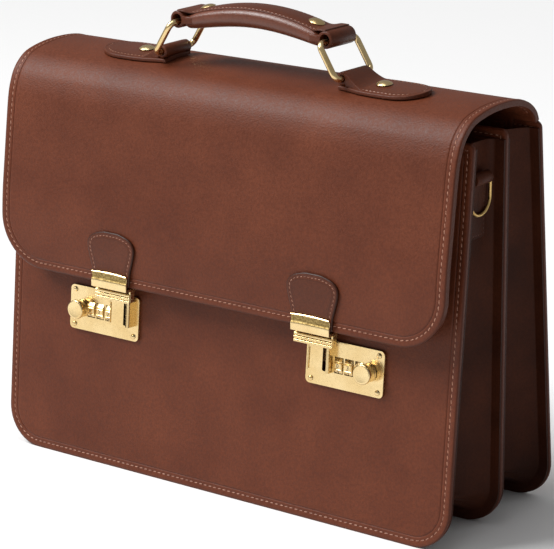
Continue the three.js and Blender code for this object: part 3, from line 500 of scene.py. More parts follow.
def grain_group():
    """Leather grain: small rounded cells from the distance to scattered points, broken up by two
    noises. Puts out a height for the bump, a slow mottling and a fine speckle."""
    group = bpy.data.node_groups.new("leather grain", "ShaderNodeTree")
    group.interface.new_socket("Cells", in_out="INPUT", socket_type="NodeSocketFloat")
    group.interface.new_socket("Height", in_out="OUTPUT", socket_type="NodeSocketFloat")
    group.interface.new_socket("Mottle", in_out="OUTPUT", socket_type="NodeSocketFloat")
    group.interface.new_socket("Speckle", in_out="OUTPUT", socket_type="NodeSocketFloat")
    enter = node(group, "NodeGroupInput", (-900, 0))
    leave = node(group, "NodeGroupOutput", (700, 0))
    where = node(group, "ShaderNodeTexCoord", (-900, -300))
    bend = node(group, "ShaderNodeTexNoise", (-700, -300), Scale=260.0, Detail=2.0)
    shift = node(group, "ShaderNodeVectorMath", (-500, -300))
    shift.operation = "MULTIPLY_ADD"
    shift.inputs[1].default_value = (0.0012, 0.0012, 0.0012)
    cells = node(group, "ShaderNodeTexVoronoi", (-300, 0))
    cells.feature = "SMOOTH_F1"
    fine = node(group, "ShaderNodeTexNoise", (-300, -300), Scale=1500.0, Detail=2.0)
    slow = node(group, "ShaderNodeTexNoise", (-300, -600), Scale=22.0, Detail=4.0)
    speck = node(group, "ShaderNodeTexNoise", (-300, -900), Scale=480.0, Detail=4.0)
    total = node(group, "ShaderNodeMath", (100, 0))
    total.operation = "MULTIPLY_ADD"
    total.inputs[1].default_value = 0.35
    link = group.links.new
    link(where.outputs["Object"], bend.inputs["Vector"])
    link(bend.outputs["Color"], shift.inputs[0])
    link(where.outputs["Object"], shift.inputs[2])
    link(shift.outputs["Vector"], cells.inputs["Vector"])
    link(enter.outputs["Cells"], cells.inputs["Scale"])
    for noise in (fine, slow, speck):
        link(where.outputs["Object"], noise.inputs["Vector"])
    link(fine.outputs["Fac"], total.inputs[0])
    link(cells.outputs["Distance"], total.inputs[2])
    link(total.outputs[0], leave.inputs["Height"])
    link(slow.outputs["Fac"], leave.inputs["Mottle"])
    link(speck.outputs["Fac"], leave.inputs["Speckle"])
    return group


GRAIN = grain_group()


def leather(name, base, dark, light, edge, roughness=(0.42, 0.56), cells=900.0, bump=0.26,
            shine=0.22):
    """Leather: its colour goes from dark to light with the mottling, is burnished on the cut edge, has
    painted shade along the stitch groove and the pressed line, and its grain raises the surface."""
    material = bpy.data.materials.new(name)
    material.use_nodes = True
    tree = material.node_tree
    shader = tree.nodes["Principled BSDF"]
    shader.inputs["Specular IOR Level"].default_value = shine
    grain = node(tree, "ShaderNodeGroup", (-1100, 0))
    grain.node_tree = GRAIN
    grain.inputs["Cells"].default_value = cells
    tone = ramp(tree, (-850, 200), [(0.3, dark), (0.5, base), (0.72, light)])
    speck = node(tree, "ShaderNodeMix", (-550, 200))
    speck.data_type = "RGBA"
    speck.blend_type = "MULTIPLY"
    fleck = ramp(tree, (-850, -60), [(0.34, (0.76, 0.74, 0.73, 1)), (0.66, (1.24, 1.26, 1.27, 1))])
    speck.inputs["Factor"].default_value = 0.5
    rim = node(tree, "ShaderNodeAttribute", (-1100, -400))
    rim.attribute_name = "inset"
    scale = node(tree, "ShaderNodeMath", (-900, -400))
    scale.operation = "DIVIDE"
    scale.inputs[1].default_value = PLAIN_INSET
    # the cut edge takes its own edge colour; the dark bands at the stitch groove and at the pressed
    # line are painted shade
    edge_and_groove_shade = ramp(tree, (-700, -400), [
        (0.0, (0, 0, 0, 1)), (0.03, (0, 0, 0, 1)), (0.06, (1, 1, 1, 1)), (0.215, (1, 1, 1, 1)),
        (0.24, (0.35, 0.35, 0.35, 1)), (0.265, (1, 1, 1, 1)), (0.36, (1, 1, 1, 1)),
        (0.385, (0.4, 0.4, 0.4, 1)), (0.41, (1, 1, 1, 1)),
    ])
    mix = node(tree, "ShaderNodeMix", (-300, 100))
    mix.data_type = "RGBA"
    mix.inputs["A"].default_value = edge
    rough = node(tree, "ShaderNodeMapRange", (-550, -200))
    rough.inputs["From Min"].default_value = 0.3
    rough.inputs["From Max"].default_value = 0.7
    rough.inputs["To Min"].default_value = roughness[0]
    rough.inputs["To Max"].default_value = roughness[1]
    raised = node(tree, "ShaderNodeBump", (-300, -300), Strength=bump, Distance=0.0006)
    link = tree.links.new
    link(grain.outputs["Mottle"], tone.inputs["Fac"])
    link(grain.outputs["Speckle"], fleck.inputs["Fac"])
    link(tone.outputs["Color"], speck.inputs["A"])
    link(fleck.outputs["Color"], speck.inputs["B"])
    link(rim.outputs["Fac"], scale.inputs[0])
    link(scale.outputs[0], edge_and_groove_shade.inputs["Fac"])
    link(edge_and_groove_shade.outputs["Color"], mix.inputs["Factor"])
    link(speck.outputs["Result"], mix.inputs["B"])
    link(mix.outputs["Result"], shader.inputs["Base Color"])
    link(grain.outputs["Speckle"], rough.inputs["Value"])
    link(rough.outputs["Result"], shader.inputs["Roughness"])
    link(grain.outputs["Height"], raised.inputs["Height"])
    link(raised.outputs["Normal"], shader.inputs["Normal"])
    return material


def brass(name, base, tarnish, roughness, spots=35.0):
    """Brass: a bright metal with a slow tarnish, a fine uneven polish and faint scratches."""
    material = bpy.data.materials.new(name)
    material.use_nodes = True
    tree = material.node_tree
    shader = tree.nodes["Principled BSDF"]
    shader.inputs["Metallic"].default_value = 1.0
    where = node(tree, "ShaderNodeTexCoord", (-1100, 0))
    slow = node(tree, "ShaderNodeTexNoise", (-850, 150), Scale=spots, Detail=4.0)
    fine = node(tree, "ShaderNodeTexNoise", (-850, -150), Scale=420.0, Detail=3.0)
    stretch = node(tree, "ShaderNodeMapping", (-1000, -450))
    stretch.inputs["Scale"].default_value = (150.0, 150.0, 2200.0)
    scratch = node(tree, "ShaderNodeTexNoise", (-750, -450), Scale=1.0, Detail=3.0)
    tone = ramp(tree, (-550, 150), [(0.35, tarnish), (0.62, base)])
    rough = node(tree, "ShaderNodeMapRange", (-550, -150))
    rough.inputs["From Min"].default_value = 0.3
    rough.inputs["From Max"].default_value = 0.7
    rough.inputs["To Min"].default_value = roughness[0]
    rough.inputs["To Max"].default_value = roughness[1]
    raised = node(tree, "ShaderNodeBump", (-300, -350), Strength=0.02, Distance=0.0003)
    link = tree.links.new
    for noise in (slow, fine):
        link(where.outputs["Object"], noise.inputs["Vector"])
    link(where.outputs["Object"], stretch.inputs["Vector"])
    link(stretch.outputs["Vector"], scratch.inputs["Vector"])
    link(slow.outputs["Fac"], tone.inputs["Fac"])
    link(tone.outputs["Color"], shader.inputs["Base Color"])
    link(fine.outputs["Fac"], rough.inputs["Value"])
    link(rough.outputs["Result"], shader.inputs["Roughness"])
    link(scratch.outputs["Fac"], raised.inputs["Height"])
    link(raised.outputs["Normal"], shader.inputs["Normal"])
    return material


def thread(name, base, dark):
    """Waxed thread: two tones twisted along the row, with a little sheen."""
    material = bpy.data.materials.new(name)
    material.use_nodes = True
    tree = material.node_tree
    shader = tree.nodes["Principled BSDF"]
    shader.inputs["Roughness"].default_value = 0.45
    where = node(tree, "ShaderNodeTexCoord", (-800, 0))
    twist = node(tree, "ShaderNodeTexNoise", (-600, 0), Scale=900.0, Detail=2.0)
    tone = ramp(tree, (-350, 0), [(0.35, dark), (0.65, base)])
    raised = node(tree, "ShaderNodeBump", (-300, -250), Strength=0.3, Distance=0.0002)
    link = tree.links.new
    link(where.outputs["Object"], twist.inputs["Vector"])
    link(twist.outputs["Fac"], tone.inputs["Fac"])
    link(tone.outputs["Color"], shader.inputs["Base Color"])
    link(twist.outputs["Fac"], raised.inputs["Height"])
    link(raised.outputs["Normal"], shader.inputs["Normal"])
    return material


HIDE = leather("waxed hide", colour(95, 46, 26), colour(88, 41, 22), colour(102, 51, 30),
               colour(76, 34, 17))
STRAP = leather("strap leather", colour(85, 41, 23), colour(78, 37, 20), colour(92, 46, 27),
                colour(56, 26, 13), roughness=(0.36, 0.5), cells=1100.0, bump=0.2, shine=0.24)
GRIP = leather("grip leather", colour(98, 51, 33), colour(90, 45, 28), colour(106, 56, 37),
               colour(58, 29, 18), roughness=(0.28, 0.4), cells=1100.0, bump=0.16, shine=0.5)
GUSSET = leather("gusset leather", colour(60, 28, 15), colour(47, 21, 11), colour(72, 35, 20),
                 colour(44, 20, 11), roughness=(0.46, 0.58), cells=700.0, bump=0.3, shine=0.1)
BRASS = brass("polished brass", colour(234, 208, 156), colour(222, 192, 136), (0.22, 0.3))
# rougher brushed finish, with a darker colour that is painted shade for the cap's hollow band
HOLLOW_SHADE_BRASS = brass("brushed brass with painted hollow shade", colour(176, 152, 98), colour(112, 90, 50), (0.4, 0.55), 700.0)
# dark brass that paints shade into the lock's slot and the hasp's rib grooves
RECESS_SHADE_BRASS = brass("brass with painted recess shade", colour(88, 56, 40), colour(52, 32, 24), (0.4, 0.55))
DARK_BRASS = brass("aged brass", colour(214, 180, 116), colour(176, 140, 84), (0.25, 0.4))
THREAD = thread("waxed thread", colour(184, 136, 112), colour(126, 80, 62))
DARK_THREAD = thread("dark thread", colour(92, 54, 42), colour(58, 32, 24))
INK = thread("digit enamel", colour(46, 36, 24), colour(36, 28, 18))


# The three panels

def wave(x, z, phase, size):
    """Slow unevenness of a leather sheet: two crossed sine waves."""
    return size * (np.sin(x / WAVE_X + phase) * np.cos(z / WAVE_Z - phase)
                   + 0.6 * np.sin((x + z) / WAVE_SLANT + 2 * phase))


def panel(name, height, face, outward, node_name, phase):
    """A panel of thick leather: a plate with round lower corners that leans with its face."""
    outline = (CASE_HALF, 0.0, height, PANEL_CORNER, PANEL_TOP_CORNER, (70, 50, 12))
    insets = insets_to(height / 2, 7)
    centre = height / 2

    def calm(x, z):
        edge = np.minimum(CASE_HALF - np.abs(x), centre - np.abs(z - centre))
        return np.clip((edge - 8) / 40, 0, 1)

    def place(x, z, out):
        bulge = wave(x, z, phase, 0.16) * calm(x, z)
        return np.stack([x, face(z) + outward * (out + bulge), z], -1)

    parts = plate(outline, insets, place, PANEL_THICKNESS, leather_relief)
    piece = make_piece(name, [parts[:2]], "case", HIDE, parts[2], [node_name])
    row = ring_at(outline, STITCH_INSET)
    rows = []
    for out, sign in ((leather_relief(np.array([STITCH_INSET]))[0], 1),
                      (-PANEL_THICKNESS - leather_relief(np.array([STITCH_INSET]))[0], -1)):
        path = place(row[:, 0], row[:, 1], np.full(len(row), out))
        normals = np.tile([0, outward * sign, 0], (len(row), 1)).astype(float)
        rows.append(stitches(path, normals))
    make_piece(name + "_stitches", rows, "case", THREAD)
    return piece


panel("front_hide", FRONT_HEIGHT, front_face, -1, "front_panel", 0.4)
panel("divider_hide", DIVIDER_HEIGHT, divider_front, -1, "divider_panel", 1.3)
panel("back_hide", BACK_HEIGHT, back_face, 1, "back_panel", 2.1)


# The two gussets

def gusset_path():
    """Stations down one side, round the corner, along the bottom and up the other side: x, z, the
    way in from the edge, and how far the fold has its upper size."""
    z = np.linspace(GUSSET_HEIGHT, PANEL_CORNER, 64)
    angle = np.linspace(0, np.pi / 2, 14)[1:]
    x = np.linspace(CASE_HALF - PANEL_CORNER, 0, 26)[1:]
    down = [np.full(64, CASE_HALF), z, np.full(64, -1.0), np.zeros(64)]
    turn = [CASE_HALF - PANEL_CORNER * (1 - np.cos(angle)), PANEL_CORNER * (1 - np.sin(angle)),
            -np.cos(angle), np.sin(angle)]
    flat = [x, 0 * x, 0 * x, 0 * x + 1]
    half = np.concatenate([np.array(down), np.array(turn), np.array(flat)], 1)
    other = half[:, :-1][:, ::-1] * np.array([[-1], [1], [-1], [1]])
    return np.concatenate([half, other], 1)


def soften(points, times):
    """Cuts the corners of each row of points, a quarter from each end, keeping the two ends."""
    for _ in range(times):
        near = 0.75 * points[:, :-1] + 0.25 * points[:, 1:]
        far = 0.25 * points[:, :-1] + 0.75 * points[:, 1:]
        inner = np.stack([near, far], 2).reshape(points.shape[0], -1, 3)
        points = np.concatenate([points[:, :1], inner[:, 1:-1], points[:, -1:]], 1)
    return points


def gusset(name, node_name, front_of, back_of, top_depth, top_flat, phase):
    """A strip of leather between two panels: a flange on each, and between them a soft fold that
    points into the compartment. It runs down a side, along the bottom and up the other. Its line
    across is eight places with their corners cut three times, and half the thickness is laid off
    along the line's normal on both sides. A sine wave that dies away puckers the lower corners."""
    x, z, in_x, in_z = gusset_path()
    upper = np.interp(z / GUSSET_HEIGHT, FOLD_HEIGHT_SHARES, FOLD_UPPER_SHARES)
    depth = FOLD_LOW_DEPTH + (top_depth - FOLD_LOW_DEPTH) * upper
    flat = (FOLD_LOW_FLAT + (top_flat - FOLD_LOW_FLAT) * upper) / 2
    hold = SEAM_GAP + GUSSET_THICKNESS / 2
    run = np.cumsum(np.hypot(np.diff(x, prepend=x[0]), np.diff(z, prepend=z[0])))
    near_corner = np.exp(-((z - PUCKER_HEIGHT) / PUCKER_SPREAD) ** 2) * (1 - in_z ** 4)
    pucker = PUCKER_SIZE * np.sin(run / PUCKER_WAVE + phase) * near_corner

    def station(inset, front, back, middle):
        height = z + in_z * inset
        y = (front_of(height) + back_of(height)) / 2 + middle
        if front:
            y = front_of(height) + hold
        if back:
            y = back_of(height) - hold
        return np.stack([x + in_x * inset, y, height], -1)

    fold = FLANGE_WIDTH + depth + GUSSET_THICKNESS / 2
    lip = FLANGE_WIDTH + GUSSET_THICKNESS / 2
    line = np.stack([
        station(0.5 + 0 * x, True, False, 0), station(lip * 0.5 + 0 * x, True, False, 0),
        station(lip + 0 * x, True, False, 0), station(fold + pucker, False, False, -flat),
        station(fold + pucker, False, False, flat), station(lip + 0 * x, False, True, 0),
        station(lip * 0.5 + 0 * x, False, True, 0), station(0.5 + 0 * x, False, True, 0),
    ], 1)
    line = soften(line, 3)
    along = np.gradient(line, axis=0)
    across = np.gradient(line, axis=1)
    normal = np.cross(along, across)
    normal /= np.linalg.norm(normal, axis=2, keepdims=True)
    outer = line + normal * GUSSET_THICKNESS / 2
    inner = line - normal * GUSSET_THICKNESS / 2
    loop = np.concatenate([outer, inner[:, ::-1]], 1)
    rows, columns = loop.shape[:2]
    faces = grid_faces(rows, columns, close_columns=True).tolist()
    half = columns // 2
    for base in (0, (rows - 1) * columns):
        faces += [[base + i, base + i + 1, base + columns - 2 - i, base + columns - 1 - i]
                  for i in range(half - 1)]
    inset = np.minimum(np.arange(half), np.arange(half)[::-1]) * 1.2 + 0.8
    inset = np.minimum(inset, 6.5)
    inset = np.concatenate([inset, inset[::-1]])[None, :] + 0 * loop[..., 0]
    make_piece(name, [(loop, faces)], "case", GUSSET, inset, [node_name])


gusset("front_gusset_leather", "front_gusset", front_inner, divider_front, 4, 23, 0.3)
gusset("rear_gusset_leather", "rear_gusset", divider_back, back_inner, 9, 6, 1.7)


# The flap

SEAM_Z = BACK_HEIGHT + SEAM_GAP
SEAM_Y = back_face(BACK_HEIGHT)
FLAP_EDGE_Y = front_face(FLAP_LOW) - FLAP_STANDOFF


def flap_curve():
    """The flap's outer line as y and z: a cubic curve through the table's places, whose slope at
    each comes from its two neighbours, smoothed a little and measured along itself."""
    share = FLAP_TABLE
    y = SEAM_Y + (FLAP_EDGE_Y - SEAM_Y) * share[:, 0]
    z = SEAM_Z + share[:, 1] * np.where(share[:, 1] > 0, FLAP_RISE, SEAM_Z - FLAP_LOW)
    knots = np.stack([y, z], -1)
    padded = np.vstack([knots[:1], knots, knots[-1:]])
    t = np.linspace(0, 1, 20, endpoint=False)[:, None]
    spans = []
    for i in range(1, len(padded) - 2):
        p0, p1, p2, p3 = padded[i - 1:i + 3]
        spans.append(0.5 * (2 * p1 + (p2 - p0) * t + (2 * p0 - 5 * p1 + 4 * p2 - p3) * t ** 2
                            + (3 * p1 - p0 - 3 * p2 + p3) * t ** 3))
    line = np.vstack(spans + [knots[-1:]])
    kernel = np.hanning(15)
    kernel /= kernel.sum()
    wide = np.vstack([np.repeat(line[:1], 7, 0), line, np.repeat(line[-1:], 7, 0)])
    soft = np.stack([np.convolve(wide[:, k], kernel, "valid") for k in range(2)], -1)
    soft[0] = line[0]
    soft[-1] = line[-1]
    step = np.hypot(*np.diff(soft, axis=0).T)
    return np.concatenate([[0], np.cumsum(step)]), soft


FLAP_RUN, FLAP_LINE = flap_curve()
FLAP_LENGTH = FLAP_RUN[-1]


def flap_at(s):
    """y, z and the outward direction of the flap's outer line at a length from the seam."""
    s = np.clip(s, 0, FLAP_LENGTH)
    y = np.interp(s, FLAP_RUN, FLAP_LINE[:, 0])
    z = np.interp(s, FLAP_RUN, FLAP_LINE[:, 1])
    tangent = np.gradient(FLAP_LINE, axis=0)
    tangent /= np.linalg.norm(tangent, axis=1, keepdims=True)
    ty = np.interp(s, FLAP_RUN, tangent[:, 0])
    tz = np.interp(s, FLAP_RUN, tangent[:, 1])
    size = np.hypot(ty, tz)
    return y, z, tz / size, -ty / size


def flap_top(y):
    """Height of the flap's outer line over a place on its crown."""
    crown = FLAP_RUN < FLAP_LENGTH * 0.47
    order = np.argsort(FLAP_LINE[crown, 0])
    return np.interp(y, FLAP_LINE[crown, 0][order], FLAP_LINE[crown, 1][order])


def flap_front(z):
    """Place of the flap's outer line at a height on its front."""
    front = FLAP_RUN > FLAP_LENGTH * 0.5
    order = np.argsort(FLAP_LINE[front, 1])
    return np.interp(z, FLAP_LINE[front, 1][order], FLAP_LINE[front, 0][order])


def flap_place(x, s, out):
    """Puts a flat place of the flap on its curved line, with a slow unevenness on its front."""
    y, z, ny, nz = flap_at(s)
    calm = np.clip((FLAP_HALF - np.abs(x) - 8) / 40, 0, 1) * np.clip((s - 20) / 60, 0, 1)
    calm = calm * np.clip((FLAP_LENGTH - s - 4) / 40, 0, 1)
    out = out + wave(x, s, 0.9, 0.2) * calm
    return np.stack([x, y + ny * out, z + nz * out], -1)


def flap():
    """The long flap: a plate over the top and down the front, its lower corners round, with the
    flat strip that holds it inside the back panel."""
    outline = (FLAP_HALF, 0.0, FLAP_LENGTH, 1.0, FLAP_CORNER, (72, 96, 16))
    insets = insets_to(FLAP_LENGTH / 2, 3.4)

    def under(d):
        return leather_relief(d) * 0.6

    points, faces, inset = plate(outline, insets, flap_place, FLAP_THICKNESS, leather_relief, under)
    tail_outline = (TAIL_HALF, BACK_HEIGHT - TAIL_DROP, SEAM_Z + FLAP_THICKNESS - 0.6, 2.0, 0.5,
                    (40, 6, 4))

    def tail_place(x, z, out):
        return np.stack([x, back_inner(z) - SEAM_GAP - TAIL_THICKNESS - out, z], -1)

    tail = plate(tail_outline, insets_to(16, 4), tail_place, TAIL_THICKNESS,
                 lambda d: leather_relief(d, 0.3))
    make_piece("flap_hide", [(points, faces), tail[:2]], "case", HIDE,
               np.concatenate([inset.ravel(), tail[2].ravel()]), ["flap"])
    row = ring_at(outline, STITCH_INSET)
    row = np.roll(row, -np.argmin(row[:, 1] * 1e3 + row[:, 0]), axis=0)
    row = row[row[:, 1] > STITCH_INSET + 4]
    rows = []
    for out, sign in ((leather_relief(np.array([STITCH_INSET]))[0], 1),
                      (-FLAP_THICKNESS + 0.2, -1)):
        path = flap_place(row[:, 0], row[:, 1], np.full(len(row), out))
        _, _, ny, nz = flap_at(row[:, 1])
        normals = np.stack([0 * ny, ny * sign, nz * sign], -1)
        rows.append(stitches(path, normals, closed=False))
    across = np.linspace(-CASE_HALF + 9, CASE_HALF - 9, 200)
    for drop in FLAP_SEAM_DROPS:
        height = BACK_HEIGHT - drop
        path = np.stack([across, back_face(height) + 0 * across, height + 0 * across], -1)
        rows.append(stitches(path, np.tile([0.0, 1.0, 0.0], (200, 1)), closed=False))
    make_piece("flap_stitches", rows, "case", THREAD)


flap()


# The clasp tabs

def clasp_tab(name, side):
    """A leather tab on the flap above each hasp: narrow at its foot, wide and round at its head,
    with its long edges straight. Rings shrink towards its middle line."""
    middle = side * (LOCK_X - HASP_OFFSET)
    fine = np.linspace(0, 1, 80)
    smooth = np.interp(fine, TAB_HEIGHT_SHARES, TAB_WIDTH_SHARES)
    kernel = np.hanning(11)[1:-1]
    kernel /= kernel.sum()
    smooth = np.convolve(np.pad(smooth, 4, mode="edge"), kernel, "valid")
    right = np.stack([smooth * TAB_HALF, fine * TAB_HEIGHT], -1)
    rim = np.vstack([right, right[::-1] * [-1, 1]])
    step = np.linalg.norm(np.diff(np.vstack([rim, rim[:1]]), axis=0), axis=1)
    run = np.concatenate([[0], np.cumsum(step)])
    at = np.linspace(0, run[-1], 161)[:-1]
    rim = np.stack([np.interp(at, run, np.append(rim[:, k], rim[0, k])) for k in range(2)], -1)
    rim = sum(weight * np.roll(rim, shift, axis=0) for shift, weight in zip(range(-4, 5), kernel))
    heart = np.array([0, TAB_HEIGHT * 0.56])
    d = np.array([0, 0.12, 0.3, 0.6, 1.1, 1.8, 2.4, 2.8, 3.2, 3.7, 4.6, 6, 8, 11, 14, 17, 19.5])

    def relief(distance):
        edge = -0.55 * np.exp(-(distance / 0.5) ** 1.3)
        seam = -0.22 * np.exp(-((distance - TAB_STITCH_INSET) / 0.55) ** 2)
        return edge + seam + 0.25 * (1 - np.exp(-distance / 6))

    away = heart - rim
    length = np.linalg.norm(away, axis=1, keepdims=True)
    rings = rim[None] + away[None] * np.minimum(d[:, None, None] / length[None], 1) * 0.999

    def place(flat, out):
        z = FLAP_LOW + SEAM_GAP + flat[..., 1]
        y = flap_front(z) - SEAM_GAP - TAB_THICKNESS - out
        return np.stack([middle + flat[..., 0], y, z], -1)

    flat = np.concatenate([rings[::-1], rings])
    out = np.concatenate([(-TAB_THICKNESS - relief(d) * 0.3)[::-1], relief(d) - 0.25])
    skin = tube(place(flat, out[:, None] + 0 * flat[..., 0]))
    inset = np.concatenate([d[::-1], d])[:, None] + 0 * flat[..., 0]
    make_piece(f"tab_leather_{name}", [skin], "case", STRAP,
               np.where(inset > 6, PLAIN_INSET, inset), [f"clasp_tab_{name}"])
    line = rim + away / length * TAB_STITCH_INSET
    line = line[line[:, 1] > 3.4]
    first = np.argmax(np.linalg.norm(np.diff(np.vstack([line[-1:], line]), axis=0), axis=1))
    line = np.roll(line, -first, axis=0)
    path = place(line, np.full(len(line), -0.28))
    rows = [stitches(path, np.tile([0.0, -1.0, 0.0], (len(line), 1)), pitch=3.2, length=2.2,
                     radius=0.33, closed=False)]
    make_piece(f"tab_stitches_{name}", rows, "case", THREAD)


for name, side in SIDES:
    clasp_tab(name, side)


# The locks and hasps

def lock_place(side):
    """Turns a lock's own x, y, z back with the front panel and moves it to its place."""
    def place(x, y, z):
        return np.stack([side * LOCK_X + x,
                         front_face(LOCK_Z) + y * math.cos(LEAN) + z * math.sin(LEAN),
                         LOCK_Z - y * math.sin(LEAN) + z * math.cos(LEAN)], -1)
    return place


def cut_mesh(mesh, cutter_parts):
    """The mesh with closed forms taken out of it."""
    whole = bpy.data.objects.new("whole", mesh.copy())
    bpy.context.scene.collection.objects.link(whole)
    cutters = []
    for points, faces in cutter_parts:
        form = bpy.data.meshes.new("cutter")
        form.from_pydata((np.asarray(points).reshape(-1, 3) * MM).tolist(), [],
                         [[int(i) for i in face] for face in faces])
        work = bmesh.new()
        work.from_mesh(form)
        bmesh.ops.recalc_face_normals(work, faces=work.faces)
        work.to_mesh(form)
        work.free()
        cutter = bpy.data.objects.new("cutter", form)
        bpy.context.scene.collection.objects.link(cutter)
        cut = whole.modifiers.new("cut", "BOOLEAN")
        cut.operation = "DIFFERENCE"
        cut.solver = "EXACT"
        cut.object = cutter
        cutters.append(cutter)
    bpy.context.view_layer.update()
    done = bpy.data.meshes.new_from_object(whole.evaluated_get(bpy.context.evaluated_depsgraph_get()))
    for extra in [whole] + cutters:
        bpy.data.objects.remove(extra)
    return done


def rounded_copy(name, node_name, body, material, width, segments=3, angle=30.0, cuts=()):
    """The node's solid, less the cuts, with its flat faces joined and its sharp edges rounded."""
    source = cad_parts[node_name].data
    work = bmesh.new()
    work.from_mesh(source)
    if cuts:
        bmesh.ops.remove_doubles(work, verts=work.verts, dist=0.002 * MM)
        welded = bpy.data.meshes.new("welded")
        work.to_mesh(welded)
        work.clear()
        work.from_mesh(cut_mesh(welded, cuts))
    bmesh.ops.remove_doubles(work, verts=work.verts, dist=0.002 * MM)
    bmesh.ops.dissolve_limit(work, angle_limit=math.radians(1.5), verts=work.verts,
                             edges=work.edges)
    bmesh.ops.recalc_face_normals(work, faces=work.faces)
    mesh = bpy.data.meshes.new(name)
    work.to_mesh(mesh)
    work.free()
    mesh.shade_smooth()
    mesh.set_sharp_from_angle(angle=math.radians(angle))
    piece = place_piece(name, mesh, body, material, [node_name])
    bevel = piece.modifiers.new("round edges", "BEVEL")
    bevel.width = width * MM
    bevel.segments = segments
    bevel.limit_method = "ANGLE"
    bevel.angle_limit = math.radians(angle)
    bevel.use_clamp_overlap = True
    normals = piece.modifiers.new("even shading", "WEIGHTED_NORMAL")
    normals.keep_sharp = True
    return piece


def digit_outlines():
    """The ten digits as flat meshes about 3.4 mm high, each centred on its own middle."""
    made = []
    for digit in range(10):
        text = bpy.data.curves.new(f"digit {digit}", "FONT")
        text.body = str(digit)
        text.size = DIGIT_SIZE
        text.resolution_u = 2
        text.extrude = DIGIT_EXTRUSION
        holder = bpy.data.objects.new("digit holder", text)
        bpy.context.scene.collection.objects.link(holder)
        bpy.context.view_layer.update()
        mesh = bpy.data.meshes.new_from_object(holder)
        points = np.empty(3 * len(mesh.vertices))
        mesh.vertices.foreach_get("co", points)
        points = points.reshape(-1, 3)
        faces = [list(face.vertices) for face in mesh.polygons]
        points[:, :2] -= (points[:, :2].min(0) + points[:, :2].max(0)) / 2
        made.append((points, faces))
        bpy.data.objects.remove(holder)
        bpy.data.curves.remove(text)
        bpy.data.meshes.remove(mesh)
    return made


DIGITS = digit_outlines()


def dial(name, side, index):
    """A number wheel: ten flats with a notch between each two, a rounded edge on both sides and a
    bore, and a digit on every flat, its top turned upwards where it shows in the window."""
    angle = np.arange(DIAL_STEPS) * 2 * np.pi / DIAL_STEPS
    half_turn = math.pi / DIAL_FACES
    part = np.abs((angle + half_turn) % (2 * half_turn) - half_turn)
    flat_radius = DIAL_RADIUS * math.cos(FLAT_HALF_TURN)
    notch = np.clip((part - FLAT_HALF_TURN) / (half_turn - FLAT_HALF_TURN), 0, 1)
    radius = flat_radius / np.cos(np.minimum(part, FLAT_HALF_TURN)) - NOTCH_DEPTH * notch
    across = np.array([-0.5, -0.5, -0.46, -0.38, 0.38, 0.46, 0.5, 0.5]) * DIAL_WIDTH
    on_rim = np.array([0, 1, 1, 1, 1, 1, 1, 0])
    drop = np.array([0, 0.5, 0.15, 0, 0, 0.15, 0.5, 0])
    ring = np.where(on_rim[:, None] > 0, radius[None] - drop[:, None], WHEEL_BORE)
    x = across[:, None] + 0 * ring
    place = lock_place(side)
    middle = side * DIAL_PLACES[index]
    points = place(middle + x, DIAL_DEPTH + ring * np.cos(angle), ring * np.sin(angle))
    body = (points, grid_faces(len(across), DIAL_STEPS, close_rows=True, close_columns=True))
    node_name = f"dial_{name}_{index + 1}"
    make_piece(f"wheel_{name}_{index + 1}", [body], node_name, BRASS, None, [node_name], 25)
    parts = []
    for i in range(DIAL_FACES):
        turn = 2 * half_turn * i
        flat_points, faces = DIGITS[(15 - i + 3 * index) % DIAL_FACES]
        distance = flat_radius + flat_points[:, 2] * 0.5
        up = flat_points[:, 1]
        y = distance * math.cos(turn) + up * math.sin(turn)
        z = distance * math.sin(turn) - up * math.cos(turn)
        parts.append((place(middle + flat_points[:, 0], DIAL_DEPTH + y, z), faces))
    make_piece(f"digits_{name}_{index + 1}", parts, node_name, INK, None, (), 30)


def knob(name, side):
    """The round button: a stem, a wide head with rounded edges and a shallow dish in its face."""
    place = lock_place(side)
    part = lathe(KNOB_PROFILE, lambda a, b, c: place(side * KNOB_OFFSET + a, -c, b), 48)
    make_piece(f"button_{name}", [part], f"lock_knob_{name}", BRASS, None, [f"lock_knob_{name}"], 35)


def plate_rivets(name, side):
    """The small domed rivets in three corners of the plate, each a turned profile."""
    place = lock_place(side)
    for i, (across, up) in enumerate(PLATE_RIVET_CORNERS):
        x = side * across * PLATE_RIVET_X
        z = up * PLATE_RIVET_Z
        part = lathe(RIVET_PROFILE,
                     lambda a, b, c: place(x + a, -PLATE_FRONT - SEAM_GAP - c, z + b), 20)
        make_piece(f"plate_pin_{name}_{i + 1}", [part], "case", BRASS, None,
                   [f"plate_rivet_{name}_{i + 1}"], 50)


def in_lock(y, z):
    """A lock's own y and z of a place on the case."""
    y = y - front_face(LOCK_Z)
    z = z - LOCK_Z
    return y * math.cos(LEAN) - z * math.sin(LEAN), y * math.sin(LEAN) + z * math.cos(LEAN)


EDGE_Y, EDGE_Z = in_lock(FLAP_EDGE_Y, FLAP_LOW)
PIN_Y = EDGE_Y + PIN_BACK
PIN_Z = EDGE_Z - PIN_DROP


def prism(profile, xs, place, lift=None):
    """A closed profile of (y, z) pairs carried along the places xs, lifted a little at each."""
    profile = np.asarray(profile, float)
    xs = np.asarray(xs, float)
    x = xs[:, None] + 0 * profile[None, :, 0]
    y = profile[None, :, 0] + 0 * x
    z = profile[None, :, 1] + (0 * x if lift is None else lift(xs[:, None], profile[None, :, 1]))
    return tube(place(x, y, z))


def block(low, high, place):
    """A box between two corners."""
    (x0, y0, z0), (x1, y1, z1) = low, high
    return prism([(y0, z0), (y1, z0), (y1, z1), (y0, z1)], [x0, x1], place)


def round_ends(piece, width, angle):
    """Rounds the edges that turn by more than an angle."""
    bevel = piece.modifiers.new("round edges", "BEVEL")
    bevel.width = width * MM
    bevel.segments = 2
    bevel.limit_method = "ANGLE"
    bevel.angle_limit = math.radians(angle)


